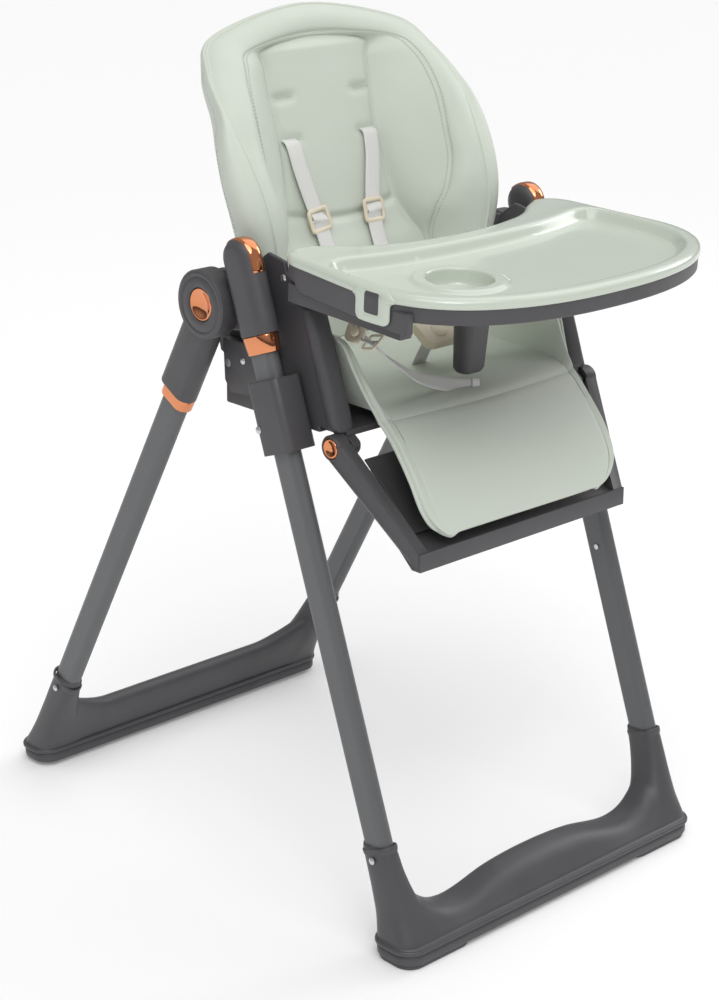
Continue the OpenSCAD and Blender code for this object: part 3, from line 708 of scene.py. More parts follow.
TRAY_FRONT = 286.0
TRAY_MID = -135.0
TRAY_POWER = 2.3
TRAY_HALF = 250.0
TRAY_REAR_HALF = 236.0
EAR_R = 38.0
EAR_V = 37.0
BELLY_A = 170.0
BELLY_B = 66.0
RIM_H = 11.0
FLOOR_H = -2.6
CUP = (-115.0, -146.0)
CUP_R = 42.0
CUP_STEPS = 72
TRAY_GRID = 9


def power(value, exponent):
    return math.copysign(abs(value) ** exponent, value)


def rounded_loop(points, passes):
    """Evens out a closed outline so that its corners turn smoothly."""
    for _ in range(passes):
        count = len(points)
        points = [(points[i - 1] + points[i] * 2 + points[(i + 1) % count]) / 4 for i in range(count)]
    return points


def even_loop(points, count):
    """The same closed outline with evenly spaced points."""
    closed = points + [points[0]]
    lengths = [0.0]
    for a, b in zip(closed, closed[1:]):
        lengths.append(lengths[-1] + (b - a).length)
    result = []
    k = 0
    for i in range(count):
        target = lengths[-1] * i / count
        while lengths[k + 1] < target:
            k += 1
        t = (target - lengths[k]) / max(1e-9, lengths[k + 1] - lengths[k])
        result.append(closed[k].lerp(closed[k + 1], t))
    return result


def tray_outline():
    """Plan of the tray in its own frame, counter-clockwise from the right-hand side."""
    points = []
    for step in range(0, 61):
        t = math.pi * step / 60
        points.append(Vector((TRAY_HALF * power(math.cos(t), 2 / TRAY_POWER),
                              TRAY_MID - (TRAY_FRONT + TRAY_MID) * power(math.sin(t), 2 / TRAY_POWER))))
    for step in range(0, 13):
        t = math.pi - math.pi / 2 * step / 12
        points.append(Vector((-(TRAY_REAR_HALF - EAR_R) + EAR_R * math.cos(t),
                              EAR_V - EAR_R + EAR_R * math.sin(t))))
    for step in range(0, 41):
        x = -162 + 324 * step / 40
        points.append(Vector((x, EAR_V - BELLY_B * math.sqrt(1 - (x / BELLY_A) ** 2))))
    for step in range(0, 13):
        t = math.pi / 2 - math.pi / 2 * step / 12
        points.append(Vector(((TRAY_REAR_HALF - EAR_R) + EAR_R * math.cos(t),
                              EAR_V - EAR_R + EAR_R * math.sin(t))))
    return anticlockwise(even_loop(rounded_loop(even_loop(points, 360), 10), 360))


def recess_outline():
    """Plan of the recess: the tray's front, and a rear edge that follows the belly cut-out short of the ears."""
    points = []
    for step in range(0, 61):
        t = math.pi * step / 60
        points.append(Vector(((TRAY_HALF - 19) * power(math.cos(t), 2 / TRAY_POWER),
                              TRAY_MID - (TRAY_FRONT + TRAY_MID - 19) * power(math.sin(t), 2 / TRAY_POWER))))
    points.append(Vector((-229, -70)))
    points.append(Vector((-222, -36)))
    for step in range(0, 31):
        x = -185 + 370 * step / 30
        points.append(Vector((x, -30 - 30 * math.sqrt(1 - (x / 190) ** 2))))
    points.append(Vector((222, -36)))
    points.append(Vector((229, -70)))
    return anticlockwise(even_loop(rounded_loop(even_loop(points, 300), 26), 300))


def inset_loop(points, distance):
    """Moves a counter-clockwise outline inwards."""
    count = len(points)
    result = []
    for i in range(count):
        along = (points[(i + 1) % count] - points[i - 1]).normalized()
        normal = Vector((-along.y, along.x))
        result.append(points[i] + normal * distance)
    return result


def anticlockwise(points):
    area = sum(a.x * b.y - b.x * a.y for a, b in zip(points, points[1:] + points[:1]))
    return points[::-1] if area < 0 else points


def signed_distance(point, loop):
    """Distance to a loop, positive inside it."""
    best = 1e9
    inside = False
    count = len(loop)
    for i in range(count):
        a = loop[i]
        b = loop[(i + 1) % count]
        ab = b - a
        t = max(0.0, min(1.0, (point - a).dot(ab) / max(1e-9, ab.dot(ab))))
        best = min(best, (point - a - ab * t).length)
        if (a.y > point.y) != (b.y > point.y):
            if point.x < a.x + (point.y - a.y) * (b.x - a.x) / (b.y - a.y):
                inside = not inside
    return best if inside else -best


def tray_height(inside_recess, cup_distance):
    """Height of the liner's top: rim, rounded wall, floor, and the raised ring round the cup well."""
    rim = RIM_H + 0.6 * math.exp(-((inside_recess + 9) / 8) ** 2)
    wall = smoothstep((inside_recess + 3.0) / 12.5)
    height = rim + (FLOOR_H - rim) * wall
    ring = 3.8 * smoothstep((60 - cup_distance) / 9)
    return max(height, FLOOR_H + ring) if ring > 0 else height


def build_tray_top():
    outline = tray_outline()
    recess = recess_outline()
    profile = [(1.6, -1.2), (0.2, -0.4), (0.0, 0.8), (0.0, 4.2), (0.5, 6.4), (1.8, 8.5), (3.9, 10.0),
               (6.4, 10.8), (9.0, 11.1)]
    rings = [[Vector((p.x, p.y, height)) for p in inset_loop(outline, inset)] for inset, height in profile]
    vertices, faces = loft(rings)
    border = inset_loop(outline, profile[-1][0])
    flat = [Vector(p) for p in border]
    edges = [(i, (i + 1) % len(border)) for i in range(len(border))]
    for inset in (-6, -3.5, -1, 1, 3, 5, 7, 9, 11, 12.5, 15):
        flat += [p for p in inset_loop(recess, inset)[::2]]
    cup_centre = Vector(CUP)
    cup_start = len(flat)
    for radius in (CUP_R, CUP_R + 1.5, CUP_R + 4, 49, 51, 53, 55, 57, 59, 61, 64):
        for k in range(CUP_STEPS):
            a = 2 * math.pi * k / CUP_STEPS
            flat.append(cup_centre + Vector((math.cos(a), math.sin(a))) * radius)
    edges += [(cup_start + k, cup_start + (k + 1) % CUP_STEPS) for k in range(CUP_STEPS)]
    for ix in range(-27, 28):
        for iy in range(-32, 5):
            p = Vector((ix, iy)) * TRAY_GRID
            if signed_distance(p, border) > 3 and (p - cup_centre).length > 67:
                inside = signed_distance(p, recess)
                if abs(inside) > 7 and inside < 8 or inside > 18:
                    flat.append(p)
    result = delaunay_2d_cdt(flat, edges, [], 1, 1e-4)
    points, triangles = result[0], result[2]
    base = len(vertices)
    border_set = {(round(p.x, 3), round(p.y, 3)) for p in border}
    for p in points:
        on_border = (round(p.x, 3), round(p.y, 3)) in border_set
        height = tray_height(signed_distance(p, recess), (p - cup_centre).length)
        vertices.append(Vector((p.x, p.y, profile[-1][1] if on_border else height)))
    for triangle in triangles:
        centre = sum((points[i] for i in triangle), Vector((0, 0))) / len(triangle)
        if (centre - cup_centre).length < CUP_R - 0.2:
            continue
        faces.append(tuple(base + i for i in triangle))
    ring_height = tray_height(signed_distance(cup_centre + Vector((CUP_R, 0)), recess), CUP_R)
    cup_profile = [(CUP_R, ring_height), (CUP_R - 1.4, ring_height - 0.5), (CUP_R - 2.3, ring_height - 1.8),
                   (CUP_R - 2.8, ring_height - 4), (CUP_R - 3.4, -12), (CUP_R - 4.2, -16.5),
                   (CUP_R - 6.5, -18.8),
                   (CUP_R - 10, -19.6), (20, -19.9), (0.5, -20)]
    angles = [2 * math.pi * k / CUP_STEPS for k in range(CUP_STEPS)]
    cup = [[Vector((CUP[0] + r * math.cos(a), CUP[1] + r * math.sin(a), h)) for a in angles] for r,
           h in cup_profile]
    vertices, faces = join_meshes([(vertices, faces), loft(cup)])
    piece = mesh_piece("tray_liner", [ON_TRAY @ Vector(v) for v in vertices], faces, "mint_gloss", "tray_top")
    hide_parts("tray_top")
    for name, sign in SIDES:
        build_clip(name, sign)


def build_clip(name, sign):
    """Mint clip that hangs from the rim over the base's side, with a dark inlay in its window."""
    v0, v1, low, high = -170.0, -119.0, -28.0, 9.0
    corner, flare = 8.0, 6.0

    def rim_x(z, v):
        ahead = max(0.0, TRAY_MID - v) / (TRAY_FRONT + TRAY_MID)
        behind = max(0.0, v - TRAY_MID) * (TRAY_HALF - TRAY_REAR_HALF) / -TRAY_MID
        side = TRAY_HALF * (1 - ahead ** TRAY_POWER) ** (1 / TRAY_POWER) - behind
        return side - 0.9 * smoothstep((z - 3) / 6) + 1.7 * (1 - smoothstep((z - 2) / 8))

    outer = []
    for centre_v, start in ((v1 - corner, 0), (v0 + corner, -90)):
        outer += arc((centre_v, low + corner), corner, start, -15, 7)
    outer += arc((v0 - flare, -flare - 1), flare, 0, 15, 7)
    outer += map(Vector, ((v0 - flare, 3.0), (v0 + 1, high - 1), (v0 + 5, high), (v1 - 5, high),
                          (v1 - 1, high - 1),
                          (v1 + flare, 3.0)))
    outer += arc((v1 + flare, -flare - 1), flare, 90, 15, 7)
    loop = even_loop(outer, 120)
    w0, w1, z0, z1, r = -156.0, -134.0, -18.0, 6.5, 3.0
    window = []
    for cv, cz, start in ((w1 - r, z0 + r, 0), (w0 + r, z0 + r, -90), (w0 + r, z1 - r, -180),
                          (w1 - r, z1 - r, -270)):
        window += arc((cv, cz), r, start, -18, 6)
    window = even_loop(window, 120)
    middle = Vector(((w0 + w1) / 2, (z0 + z1) / 2))

    def by_angle(points):
        angles = [(q - middle).angle_signed(Vector((0, -1)), 0) % 6.2832 for q in points]
        start = angles.index(min(angles))
        return points[start:] + points[:start]

    loop, window = by_angle(loop), by_angle(window)
    rings = []
    for points, depth, grow in ((window, -1.4, 0.0), (window, -0.5, 0.0), (window, 0.0, 0.5),
                                (loop, 0.0, -1.0),
                                (loop, -0.4, -0.25), (loop, -1.1, 0.0), (loop, -2.6, 0.0)):
        ring = []
        for q in points:
            away = q - middle
            q = q + away.normalized() * grow
            ring.append(ON_TRAY @ Vector((sign * (rim_x(q.y, q.x) + depth), q.x, q.y)))
        rings.append(ring)
    loft_piece(f"tray_clip_{name}", rings, "mint_gloss", "tray_top")
    steps = []
    for t in (1.0, 0.66, 0.33, 0.02):
        spots = [middle.lerp(q, t) for q in window]
        steps.append([ON_TRAY @ Vector((sign * (rim_x(q.y, q.x) - 0.9), q.x, q.y)) for q in spots])
    loft_piece(f"tray_clip_window_{name}", steps, "anthracite", "tray_top")


def build_tray_base():
    outline = tray_outline()
    rings = []
    for inset, height in ((24, -5.5), (2.4, -5.5), (2.4, -1.0), (2.0, -1.4)):
        rings.append([Vector((p.x, p.y, height)) for p in inset_loop(outline, inset)])
    low = []
    for p in outline:
        side = smoothstep((abs(p.x) - 205) / 25) * smoothstep((p.y + 178) / 14) * smoothstep((6 - p.y) / 16)
        low.append(-19.0 - 10.5 * side)
    for inset, lift in ((2.0, 3.0), (2.2, 0.9), (2.9, 0.0), (4.9, 0.0), (5.4, 1.2)):
        rings.append([Vector((p.x, p.y, z + lift)) for p, z in zip(inset_loop(outline, inset), low)])
    rings.append([Vector((p.x, p.y, -7.5)) for p in inset_loop(outline, 6.0)])
    rings.append([Vector((p.x, p.y, -8.0)) for p in inset_loop(outline, 30)])
    vertices, faces = loft(rings)
    inner = inset_loop(outline, 30)
    centre = Vector(CUP)
    angles = [math.pi * k / 24 for k in range(48)]
    hole = [centre + Vector((math.cos(t), math.sin(t))) * (CUP_R + 3) for t in angles]
    edges = [(i, (i + 1) % len(inner)) for i in range(len(inner))]
    edges += [(len(inner) + k, len(inner) + (k + 1) % 48) for k in range(48)]
    under = delaunay_2d_cdt([Vector((p.x, p.y)) for p in inner] + hole, edges, [], 1, 1e-4)
    base = len(vertices)
    vertices += [Vector((p.x, p.y, -8.0)) for p in under[0]]
    for triangle in under[2]:
        middle = sum((under[0][i] for i in triangle), Vector((0, 0))) / 3
        if (middle - centre).length > CUP_R + 2.5:
            faces.append(tuple(base + i for i in triangle))
    piece = mesh_piece("tray_skirt", [ON_TRAY @ Vector(v) for v in vertices], faces, "anthracite", "tray")
    modifier(piece, "WEIGHTED_NORMAL")
    for name, sign in SIDES:
        # runner under the tray, and the guide block at its front end
        for label, x0, x1, y0, y1, z0, z1 in (("runner", 213.3, 229.7, -160, -2, -23.4, -8.2),
                                              ("catch", 234, 244, -196, -150, -33, -8.2)):
            block(f"tray_{label}_{name}", (sign * x0, y0, z0), (sign * x1, y1, z1), "anthracite", "tray", 2.0,
                  ON_TRAY)
    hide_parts("tray_base")


def block(name, low, high, material, body, radius, place=Matrix.Identity(4)):
    """A moulded block with rounded edges."""
    lo = Vector(map(min, low, high))
    hi = Vector(map(max, low, high))
    corners = [(x, y, z) for x in (lo.x, hi.x) for y in (lo.y, hi.y) for z in (lo.z, hi.z)]
    faces = [(0, 1, 3, 2), (4, 6, 7, 5), (0, 4, 5, 1), (2, 3, 7, 6), (0, 2, 6, 4), (1, 5, 7, 3)]
    piece = mesh_piece(name, [place @ Vector(c) for c in corners], faces, material, body)
    modifier(piece, "BEVEL", width=radius * MM, segments=3, harden_normals=True)
    return piece


# ------------------------------------------------------------------ moulded parts

def lathe_piece(name, profile, centre, sign, material, body, node=None, steps=72):
    """Turns (radius, x) points round an axis that runs along X."""
    y, z = centre
    rings = []
    for radius, x in profile:
        rings.append([Vector((sign * x, y + radius * math.cos(2 * math.pi * k / steps),
                              z + radius * math.sin(2 * math.pi * k / steps))) for k in range(steps)])
    return loft_piece(name, rings, material, body, node)


def profile_plate(name, points, x0, x1, sign, material, body, radius=2.0):
    """Plate cut from an outline of (y, z) points, with its edges rounded."""
    count = len(points)
    vertices = [(sign * x0, y, z) for y, z in points] + [(sign * x1, y, z) for y, z in points]
    faces = [tuple(range(count)), tuple(range(2 * count - 1, count - 1, -1))]
    faces += [(i, (i + 1) % count, count + (i + 1) % count, count + i) for i in range(count)]
    piece = mesh_piece(name, vertices, faces, material, body)
    modifier(piece, "BEVEL", width=radius * MM, segments=3, limit_method="ANGLE",
             angle_limit=math.radians(25),
             harden_normals=True, use_clamp_overlap=True)
    return piece


def superoval(half_x, half_y, steps=48, exponent=2.6):
    """Closed section between an ellipse and a rounded rectangle."""
    ring = []
    for k in range(steps):
        t = 2 * math.pi * k / steps
        ring.append((half_x * power(math.cos(t), 2 / exponent), half_y * power(math.sin(t), 2 / exponent)))
    return ring


def stadium(half_x, half_y, steps=48):
    """Flat-oval section, longer in y than in x."""
    straight = max(0.0, half_y - half_x)
    ring = []
    for k in range(steps):
        t = 2 * math.pi * (k + 0.5) / steps
        ring.append((half_x * math.cos(t), half_x * math.sin(t) + math.copysign(straight, math.sin(t))
                     if half_y > half_x else half_y * math.sin(t)))
    return ring


COLUMN_X = 239.5
COLUMN_TOP = 109 / math.cos(FRONT_LEAN)
COLUMN_HALF = 16.6
COLUMN_DEEP = 25.2
COLUMN_DOME = 13
COLUMN_STRETCH = 1.07
COLUMN_SHIFT = 1.8


def build_column(name, sign):
    """Bullet-shaped top of the front leg, its copper strip and the tapered copper collar under it."""
    place = on_front(721)
    rings = []
    for height in (0, 0.6, 2, 20, 40, 60, 75):
        trim = 1.4 if height == 0 else (0.5 if height == 0.6 else 0)
        rings.append((COLUMN_HALF - trim, COLUMN_DEEP - trim, height))
    for step in range(1, 15):
        rise = COLUMN_DEEP * math.sin(math.pi / 2 * step / 14)
        deep = COLUMN_DEEP * math.cos(math.pi / 2 * step / 14)
        over = max(0.0, rise - 12.2)
        wide = COLUMN_HALF - COLUMN_DOME + math.sqrt(max(0.0, COLUMN_DOME ** 2 - over * over))
        rings.append((max(3.0, wide), max(1.5, deep), COLUMN_TOP - COLUMN_DEEP + rise))
    placed = []
    for half_x, half_y, height in rings:
        section = stadium(half_x, half_y) if half_y >= half_x else superoval(half_x, half_y, 48, 2.0)
        placed.append([place @ Vector((sign * COLUMN_X + x, y * COLUMN_STRETCH - COLUMN_SHIFT, height))
                       for x, y in section])
    loft_piece(f"column_{name}", placed, "anthracite", "front_frame", f"top_housing_{name}", cap=True)
    # strip over the front and the dome
    strip = [(0.0, COLUMN_TOP - drop - (COLUMN_TOP - COLUMN_DEEP)) for drop in (45.4, 44.6, 42, 38, 32, 27)]
    strip += [(math.radians(118) * step / 24, 0.0) for step in range(25)]
    rows = []
    for index, (turn, drop) in enumerate(strip):
        wide = 10.0 * (0.72 if index == 0 else 0.93 if index == 1 else 1.0)
        row = []
        for j in range(13):
            x = wide * (j / 6 - 1)
            lift = 0.7 if 0 < j < 12 and index > 0 else -0.6
            front = 8.6 + math.sqrt(COLUMN_HALF ** 2 - x * x)
            top = COLUMN_DEEP - (COLUMN_DOME - math.sqrt(COLUMN_DOME ** 2 - max(0.0, abs(x) - 3.6) ** 2))
            reach = front + (top - front) * math.sin(min(turn, math.pi / 2)) ** 2 + lift
            row.append(place @ Vector((sign * COLUMN_X + x,
                                       -COLUMN_STRETCH * reach * math.cos(turn) - COLUMN_SHIFT,
                                       COLUMN_TOP - COLUMN_DEEP + drop + reach * math.sin(turn))))
        rows.append(row)
    loft_piece(f"copper_strip_{name}", rows, "copper", "front_frame", f"housing_strip_{name}",
               closed_ring=False)
    collar = []
    low = on_front(700)
    for half_x, half_y, height in ((11.0, 21.0, 0.2), (12.4, 22.6, 0), (13.0, 23.0, 0.8), (14.8, 24.0, 11),
                                   (16.2, 24.8, 21), (15.8, 24.4, 22), (12, 22, 22.2)):
        collar.append([low @ Vector((sign * (TUBE_X + 0.3) + x, y - 1.0, height)) for x,
                       y in stadium(half_x, half_y)])
    loft_piece(f"copper_collar_{name}", collar, "copper", "front_frame", f"front_collar_{name}")
    # bridge to the hinge
    profile_plate(f"column_bridge_{name}", [(-88, 722), (-68, 784), (-30, 787), (-8, 786), (26, 768),
                                            (32, 746),
                                            (20, 718), (-8, 706), (-38, 716)], 223.7, 237.4, sign,
                  "anthracite",
                  "front_frame", 3.0)


def build_hinge_face(name, sign):
    """Raised ring on the hinge disc and the dished copper button inside it."""
    lathe_piece(f"hinge_ring_{name}", [(40.6, 259.5), (40.4, 261.6), (39.2, 262.7), (37, 263.0),
                                       (34.6, 263.0), (33.9, 262.2),
                                       (33.2, 262.2), (32.5, 263.0), (24, 263.2), (21.8, 262.8),
                                       (20.9, 261.6),
                                       (20.7, 256)], HINGE, sign, "anthracite", "rear_frame")
    lathe_piece(f"fold_button_face_{name}", [(0.3, 257.2), (4, 257.3), (8, 257.9), (12, 259.1), (15.5, 260.7),
                                             (17.6, 261.7), (18.8, 261.9), (19.7, 261.4), (20, 260.2),
                                             (20, 251.2),
                                             (0.3, 251.2)], HINGE, sign, "copper", f"fold_button_{name}",
                f"fold_button_{name}")
    lathe_piece(f"footrest_button_face_{name}", [(0.3, 220.6), (3, 220.7), (6, 221.3), (8.6, 222.4),
                                                 (10.4, 223.1),
                                                 (11.5, 222.9), (12, 222.1), (12, 218.6), (0.3, 218.6)],
                FOOT_PIVOT, sign,
                "copper", f"footrest_button_{name}", f"footrest_button_{name}")
    # rim round the footrest's button
    lathe_piece(f"footrest_boss_{name}", [(12.4, 219), (12.5, 222.2), (13.2, 222.7), (14.6, 222.4),
                                          (15.6, 221.0),
                                          (15.8, 212), (15.6, 204.4)], FOOT_PIVOT, sign, "anthracite",
                "footrest")


SIDE_WALL = [(-146, 758), (-118, 758), (-116, 786), (-105, 793), (-102, 806), (-72, 812), (-44, 792),
             (-6, 716), (8, 690),
             (10, 612), (-160, 612), (-160, 619), (-197, 619)]


def build_seat_shell():
    """Pan, side walls and the rounded front posts of the seat."""
    first = None
    for label, x0, x1, y0, y1 in (("front", -200, 200, -196, -159), ("middle", -210.6, 210.6, -161, -2),
                                  ("tongue", -110, 110, -4, 36)):
        piece = block(f"seat_pan_{label}", (x0, y0, 612), (x1, y1, 620), "anthracite", "seat", 2.0)
        first = first or piece
    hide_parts("seat_shell")
    py, pz = FOOT_PIVOT
    for name, sign in SIDES:
        profile_plate(f"seat_wall_{name}", SIDE_WALL, 205, 211.2, sign, "anthracite", "seat", 2.4)
        lug = [(py - 4, 613)] + [(py + 14 * math.cos(math.radians(a)), pz + 14 * math.sin(math.radians(a)))
                                 for a in range(160, 381, 20)] + [(py + 24, 613)]
        profile_plate(f"footrest_lug_{name}", lug, 186, 199, sign, "anthracite", "seat", 1.5)
        lathe_piece(f"footrest_axle_{name}", [(0.3, 198), (6, 198), (6, 212.4), (5.4, 213), (0.3, 213)],
                    FOOT_PIVOT, sign,
                    "anthracite", "seat")
        rings = []
        for t, half_x, half_y in ((0, 6.0, 3.5), (0.004, 10.5, 6.8), (0.02, 13.2, 9.0), (0.06, 14.8, 10.4),
                                  (0.2, 15.0, 11.0),
                                  (0.5, 14.8, 11.0), (0.8, 14.6, 10.4), (0.97, 14.5, 9.8), (0.99, 13.6, 9.0),
                                  (1, 11.5, 7.5)):
            centre = Vector((sign * 200.0, -188 + 49 * t, 616.5 + 142.5 * t))
            rings.append([centre + Vector((x, y, 0)) for x, y in superoval(half_x, half_y, 40, 3.0)])
        loft_piece(f"seat_post_{name}", rings, "anthracite", "seat", cap=True)


def oval_slab(name, half_x, half_y, radius, centre_y, profile, material, body, centre_x=0.0):
    """Rounded-rectangle slab from (inset, z) profile points."""
    rings = []
    for inset, z in profile:
        loop = rounded_rectangle((centre_x, centre_y), half_x, half_y, radius, 8, inset)
        rings.append([Vector((p.x, p.y, z)) for p in loop])
    return loft_piece(name, rings, material, body, cap=True)


def build_sled(kind, frame_body, place, axis_y, socket, crest, half_x, half_y):
    """Floor sled: foot slab, rim, and a smooth body that rises into a socket at each leg."""
    base_y = axis_y(25)
    oval_slab(f"{kind}_sled_slab", half_x - 3, half_y - 2, 25, base_y,
              [(2.5, 6), (0.8, 6.8), (0, 8.5), (0, 19.2), (1.6, 20)], "anthracite", frame_body)
    rim = oval_slab(f"{kind}_sled_rim", half_x, half_y, 27, base_y,
                    [(3.6, 19.6), (1.2, 20.4), (0.1, 21.8), (0, 24.5), (1.0, 26.2), (2.2, 26.6), (2.8, 26.2),
                     (3.4, 27.2),
                     (5.4, 28.6), (8, 29)], "anthracite", frame_body)
    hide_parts(f"{kind}_sled")
    parts = []
    # beam between the sockets
    rings = []
    steps = 86
    for i in range(steps + 1):
        x = -222 + 444 * i / steps
        top = crest(abs(x))
        rise = top - 27
        ring = []
        for offset, share in ((-1.0, 0), (-0.96, 0.08), (-0.87, 0.25), (-0.80, 0.45), (-0.71, 0.65),
                              (-0.56, 0.83), (-0.33, 0.95),
                              (0, 1), (0.33, 0.95), (0.56, 0.83), (0.71, 0.65), (0.80, 0.45), (0.87, 0.25),
                              (0.96, 0.08),
                              (1.0, 0), (0.9, -0.16), (-0.9, -0.16)):
            z = 27 + rise * share if share >= 0 else 18
            ring.append(Vector((x, axis_y(max(z, 25)) + offset * (half_y - 4), z)))
        rings.append(ring)
    parts.append(loft(rings, cap=True))
    for sign in (-1, 1):
        rings = []
        for z, x_in, x_out, deep in socket:
            mid = (x_in + x_out) / 2
            rings.append([Vector((sign * mid + x, axis_y(max(z, 25)) + y, z))
                          for x, y in superoval((x_out - x_in) / 2, deep, 48,
                                                2.5 + 1.5 * smoothstep((60 - z) / 40))])
        parts.append(loft(rings, cap=True))
    vertices, faces = join_meshes(parts)
    body = mesh_piece(f"{kind}_sled_body", vertices, faces, "anthracite", frame_body)
    modifier(body, "REMESH", mode="VOXEL", voxel_size=0.003, use_smooth_shade=True)
    modifier(body, "SMOOTH", factor=0.6, iterations=14)
    # lip of each socket
    for name, sign in SIDES:
        z, x_in, x_out, deep = socket[-1]
        z -= 2.5
        rings = []
        for grow, height in ((-1.6, -9), (-0.4, -6), (0.0, -3), (0.0, -0.6), (-0.5, 0.3), (-1.4, 0.5),
                             (-2.4, 0.1),
                             (-3.2, -1.5), (-3.4, -6)):
            mid = (x_in + x_out) / 2
            half_a, half_b = (x_out - x_in) / 2 + grow, deep + grow
            rings.append([place(z) @ Vector((sign * mid + x, y, height)) for x, y in stadium(half_a, half_b)])
        loft_piece(f"{kind}_socket_lip_{name}", rings, "anthracite", frame_body)


def curve_height(points):
    """Smooth height over |x| through (x, z) points."""
    line = spline([Vector((x, z)) for x, z in points], 12)

    def height(x):
        for a, b in zip(line, line[1:]):
            if a.x <= x <= b.x:
                return a.y + (b.y - a.y) * (x - a.x) / max(1e-6, b.x - a.x)
        return line[-1].y
    return height


def build_sleds():
    front_crest = curve_height([(0, 64), (30, 63.5), (76, 60), (120, 51.5), (146, 48), (168, 50), (185, 56),
                                (200, 66),
                                (222, 84)])
    front_socket = [(19, 172, 260.5, 33), (30, 176, 260.2, 32), (42, 189, 259.2, 30), (56, 201, 258, 28.5),
                    (72, 210, 256.8, 27),
                    (92, 217, 255.4, 25.8), (112, 222, 254.6, 25.2), (138, 224.6, 253.8, 24.4)]
    build_sled("front", "front_frame", on_front, front_axis_y, front_socket, front_crest, 264, 37)
    for name, sign in SIDES:
        oval_slab(f"front_sled_pad_{name}", 56, 32, 22, front_axis_y(25),
                  [(2, 0), (0.6, 0.4), (0, 1.6), (0, 8)],
                  "anthracite", "front_frame", sign * 202)
    rear_crest = curve_height([(0, 79), (60, 79), (120, 79), (150, 80), (181, 89), (205, 100), (222, 112)])
    rear_socket = [(19, 176, 258.5, 30), (32, 180, 258.2, 29), (48, 188, 257.5, 28), (66, 198, 256.5, 27),
                   (84, 207, 255.6, 26),
                   (104, 214, 254.6, 25.2), (126, 220, 254.2, 25), (151, 224.6, 253.6, 24.4)]
    build_sled("rear", "rear_frame", on_rear, rear_axis_y, rear_socket, rear_crest, 262, 33.5)


# ------------------------------------------------------------------ harness

# Section of a strap, (across, thick) in halves of the width and whole thicknesses
STRAP = ((-1, 0), (-0.93, 0.5), (-0.5, 0.5), (0, 0.5), (0.5, 0.5), (0.93, 0.5), (1, 0), (0.93, -0.5),
         (0.5, -0.5),
         (0, -0.5), (-0.5, -0.5), (-0.93, -0.5))


def ribbon(name, path, width, body, across, thickness, steps=8):
    """Flat webbing along a smooth path. across is one direction, or one for each path point."""
    line = spline(path, steps)
    if isinstance(across, Vector):
        across = [across] * len(path)
    directions = spline(across, steps)
    rings = []
    lengths = [0.0]
    for i, point in enumerate(line):
        if i:
            lengths.append(lengths[-1] + (point - line[i - 1]).length)
        along = (line[min(i + 1, len(line) - 1)] - line[max(i - 1, 0)]).normalized()
        side = directions[i] - along * directions[i].dot(along)
        side.normalize()
        normal = along.cross(side)
        rings.append([point + side * (width / 2) * u + normal * n * thickness for u, n in STRAP])
    piece = loft_piece(name, rings, "webbing", body, cap=True)
    layer = piece.data.uv_layers.new(name="UVMap")
    for loop in piece.data.loops:
        ring, k = divmod(loop.vertex_index, len(STRAP))
        layer.data[loop.index].uv = (STRAP[k][0] * width / 2 * MM, lengths[ring] * MM)
    return piece


def glide(name, place, half_w, half_h, body, thick, bar):
    """Rounded rectangular strap slide with a round bar across it."""
    outline = rounded_rectangle((0, 0), half_w, half_h, 6.0, 6)
    rings = []
    count = len(outline)
    for i, q in enumerate(outline):
        along = (outline[(i + 1) % count] - outline[i - 1]).normalized()
        out = Vector((along.y, -along.x))
        ring = []
        for k in range(12):
            t = 2 * math.pi * k / 12
            a, b = power(math.cos(t), 0.7) * bar / 2, power(math.sin(t), 0.7) * thick / 2
            p = q - out * bar / 2 + out * a
            ring.append(place @ Vector((p.x, b, p.y)))
        rings.append(ring)
    piece = loft_piece(name, rings, "cream_plastic", body, closed_path=True)
    rod = [place @ Vector((x, 0.2, 0)) for x in (-half_w + 2.5, 0, half_w - 2.5)]
    piping(name + "_bar", rod, 1.8, "satin_steel", body)
    return piece


def build_shoulder_straps():
    first = None
    for name, sign in SIDES:
        lie = 0 if sign < 0 else -9
        path = [ON_BACK @ Vector((sign * x + lie * smoothstep((248 - up) / 100), y, up)) for x, y, up in (
            (65, 5.5, 250), (65, 1.5, 248), (65, -1.8, 244), (64, -3.6, 234), (62.5, -5.0, 214),
            (59, -6.2, 192),
            (55.5, -7.4, 172), (53, -8.6, 159), (51.5, -11.0, 152.5), (50.5, -12.8, 147),
            (49.8, -11.6, 141.5),
            (49, -11.0, 134), (48, -13.5, 116), (47, -17.5, 98), (44, -27, 78), (39, -42, 56))]
        aim = ON_BACK.to_3x3()
        leans = (0, 0, 0.02, 0.06, 0.1, 0.15, 0.2, 0.22, 0.22, 0.22, 0.22, 0.2, 0.12, 0.08, 0.05, 0)
        tilt = [aim @ Vector((1, 0, sign * lean)) for lean in leans]
        piece = ribbon(f"shoulder_webbing_{name}", path, 24, "backrest", tilt, 1.4, 6)
        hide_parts(f"shoulder_strap_{name}")
        lean = math.radians(9 if sign < 0 else 1) * sign
        turn = Matrix.Translation((sign * 50.5 + lie, -10.8, 147)) @ Matrix.Rotation(lean, 4, "Y")
        slide = glide(f"shoulder_slide_{name}", ON_BACK @ turn, 17.5, 15.5, "backrest", 3.4, 5.4)
        first = first or slide
    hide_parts("shoulder_adjusters")


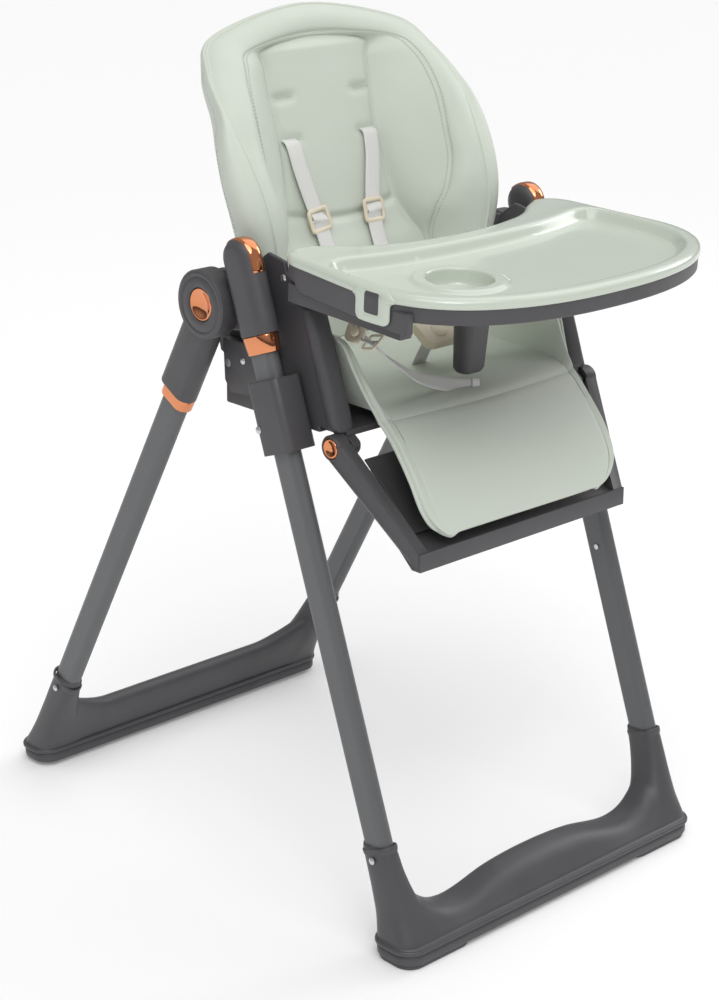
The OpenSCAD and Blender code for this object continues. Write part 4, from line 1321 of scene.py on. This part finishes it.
def build_waist_straps():
    left = [(-163, -180, 723), (-157, -184, 719), (-150, -186.5, 713.5), (-144, -188, 707.5),
            (-134, -189, 697), (-114, -190, 682),
            (-90, -192, 664.5), (-64, -196, 652.5), (-38, -201, 645.0), (-14, -207, 639.0), (1, -211, 635.5)]
    lean = [Vector(v) for v in ((0.1, 0.9, 0.45), (0.1, 0.9, 0.45), (0.1, 0.9, 0.4), (0.1, 0.92, 0.35),
                                (0.1, 0.92, 0.33),
                                (0.15, 0.9, 0.38), (0.25, 0.82, 0.48), (0.35, 0.7, 0.58), (0.45, 0.5, 0.68),
                                (0.55, 0.3, 0.72),
                                (0.6, 0.2, 0.72))]
    piece = ribbon("waist_webbing_left", [Vector(q) for q in left], 21, "seat", lean, 1.4)
    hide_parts("waist_strap_right")
    hem = [Vector(q) for q in ((-8, -210.2, 638.6), (-3, -211.4, 637.4), (2, -212.6, 636.2))]
    ribbon("waist_webbing_hem", hem, 21.4, "seat", Vector((0.6, 0.2, 0.72)), 1.3)
    right = [(163, -180, 723), (157, -182, 719), (150, -182, 713), (140, -178, 706), (112, -166, 699),
             (76, -154, 697),
             (34, -143, 694)]
    piece = ribbon("waist_webbing_right", [Vector(q) for q in right], 21, "seat", Vector((0.1, 0.8, 0.5)),
                   1.4)
    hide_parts("waist_strap_left")
    first = None
    for name, sign in SIDES:
        turn = Matrix.Translation((sign * 150, -186, 715))
        for angle, axis in ((sign * 38, "Y"), (-14, "X"), (90, "X"), (90, "Y")):
            turn = turn @ Matrix.Rotation(math.radians(angle), 4, axis)
        slide = glide(f"waist_slide_{name}", turn, 14, 12, "seat", 2.6, 3.4)
        first = first or slide
        stud = Matrix.Translation((sign * 161, -170, 727)) @ Matrix.Rotation(sign * math.radians(64), 4, "Y")
        rings = []
        for half_a, half_b, height in ((13, 15, -1.6), (14, 16, -0.6), (14, 16, 0.8), (13.2, 15.2, 1.6),
                                       (7.6, 7.6, 1.7),
                                       (7.4, 7.4, 0.9), (6.6, 6.6, 0.9), (6.4, 6.4, 3.2), (5.4, 5.4, 3.9),
                                       (0.4, 0.4, 4.0)):
            rings.append([stud @ Vector((x, y, height)) for x,
                          y in superoval(half_a, half_b, 40, 2.0 if half_a < 10 else 3.2)])
        loft_piece(f"waist_stud_{name}", rings, "cream_plastic", "seat", cap=True)
    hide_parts("waist_adjusters")
    piece = ribbon("crotch_webbing", [Vector(q) for q in ((0, -106, 634), (0, -108, 642), (0, -116, 658),
                                                          (0, -127, 676),
                                                        (0, -133, 685))], 24, "seat", Vector((1, 0, 0)), 1.4)
    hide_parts("crotch_strap")


# ------------------------------------------------------------------ everything

# CAD node, body, material, edge radius
HARD_NODES = [(f"{kind}_{side}", body, material, radius) for kind, body, material, radius in (
    ("hinge_sleeve", "rear_frame", "anthracite", 3.0),
    ("rear_collar", "rear_frame", "copper", 1.0),
    ("slider_housing", "seat", "anthracite", 2.5),
    ("armrest", "seat", "anthracite", 2.0),
) for side, _ in SIDES] + [
    ("back_shell", "backrest", "anthracite", 2.0),
    ("recline_handle", "recline_handle", "anthracite", 1.5),
    ("height_handle", "height_handle", "anthracite", 1.5),
    ("footrest_frame", "footrest", "anthracite", 2.0),
    ("calf_panel", "footrest", "anthracite_shadow", 1.5),
    ("crotch_post", "tray", "anthracite", 1.5),
    ("tray_release", "tray_release", "anthracite", 1.2),
    ("harness_buckle", "seat", "cream_plastic", 2.0),
    ("rear_feet", "rear_frame", "black_rubber", 1.0),
]


def dress_cad():
    """Every CAD node gets the material of its slot."""
    slots = {part["node"]: part["material_slot"] for part in frame["record"]["subparts"]}
    for name, node in NODES.items():
        material = MATERIALS[slots[name]]
        for slot in node.material_slots:
            slot.material = material
        if not node.material_slots:
            node.data.materials.append(material)


add_camera()
add_studio()
dress_cad()
for node_name, body_name, material_name, bevel in HARD_NODES:
    softened(node_name, body_name, material_name, bevel)
build_back_cover()
build_seat_cover()
build_tray_top()
build_tray_base()
build_sleds()
build_seat_shell()
for side_name, side_sign in SIDES:
    build_column(side_name, side_sign)
    build_hinge_face(side_name, side_sign)
build_shoulder_straps()
build_waist_straps()
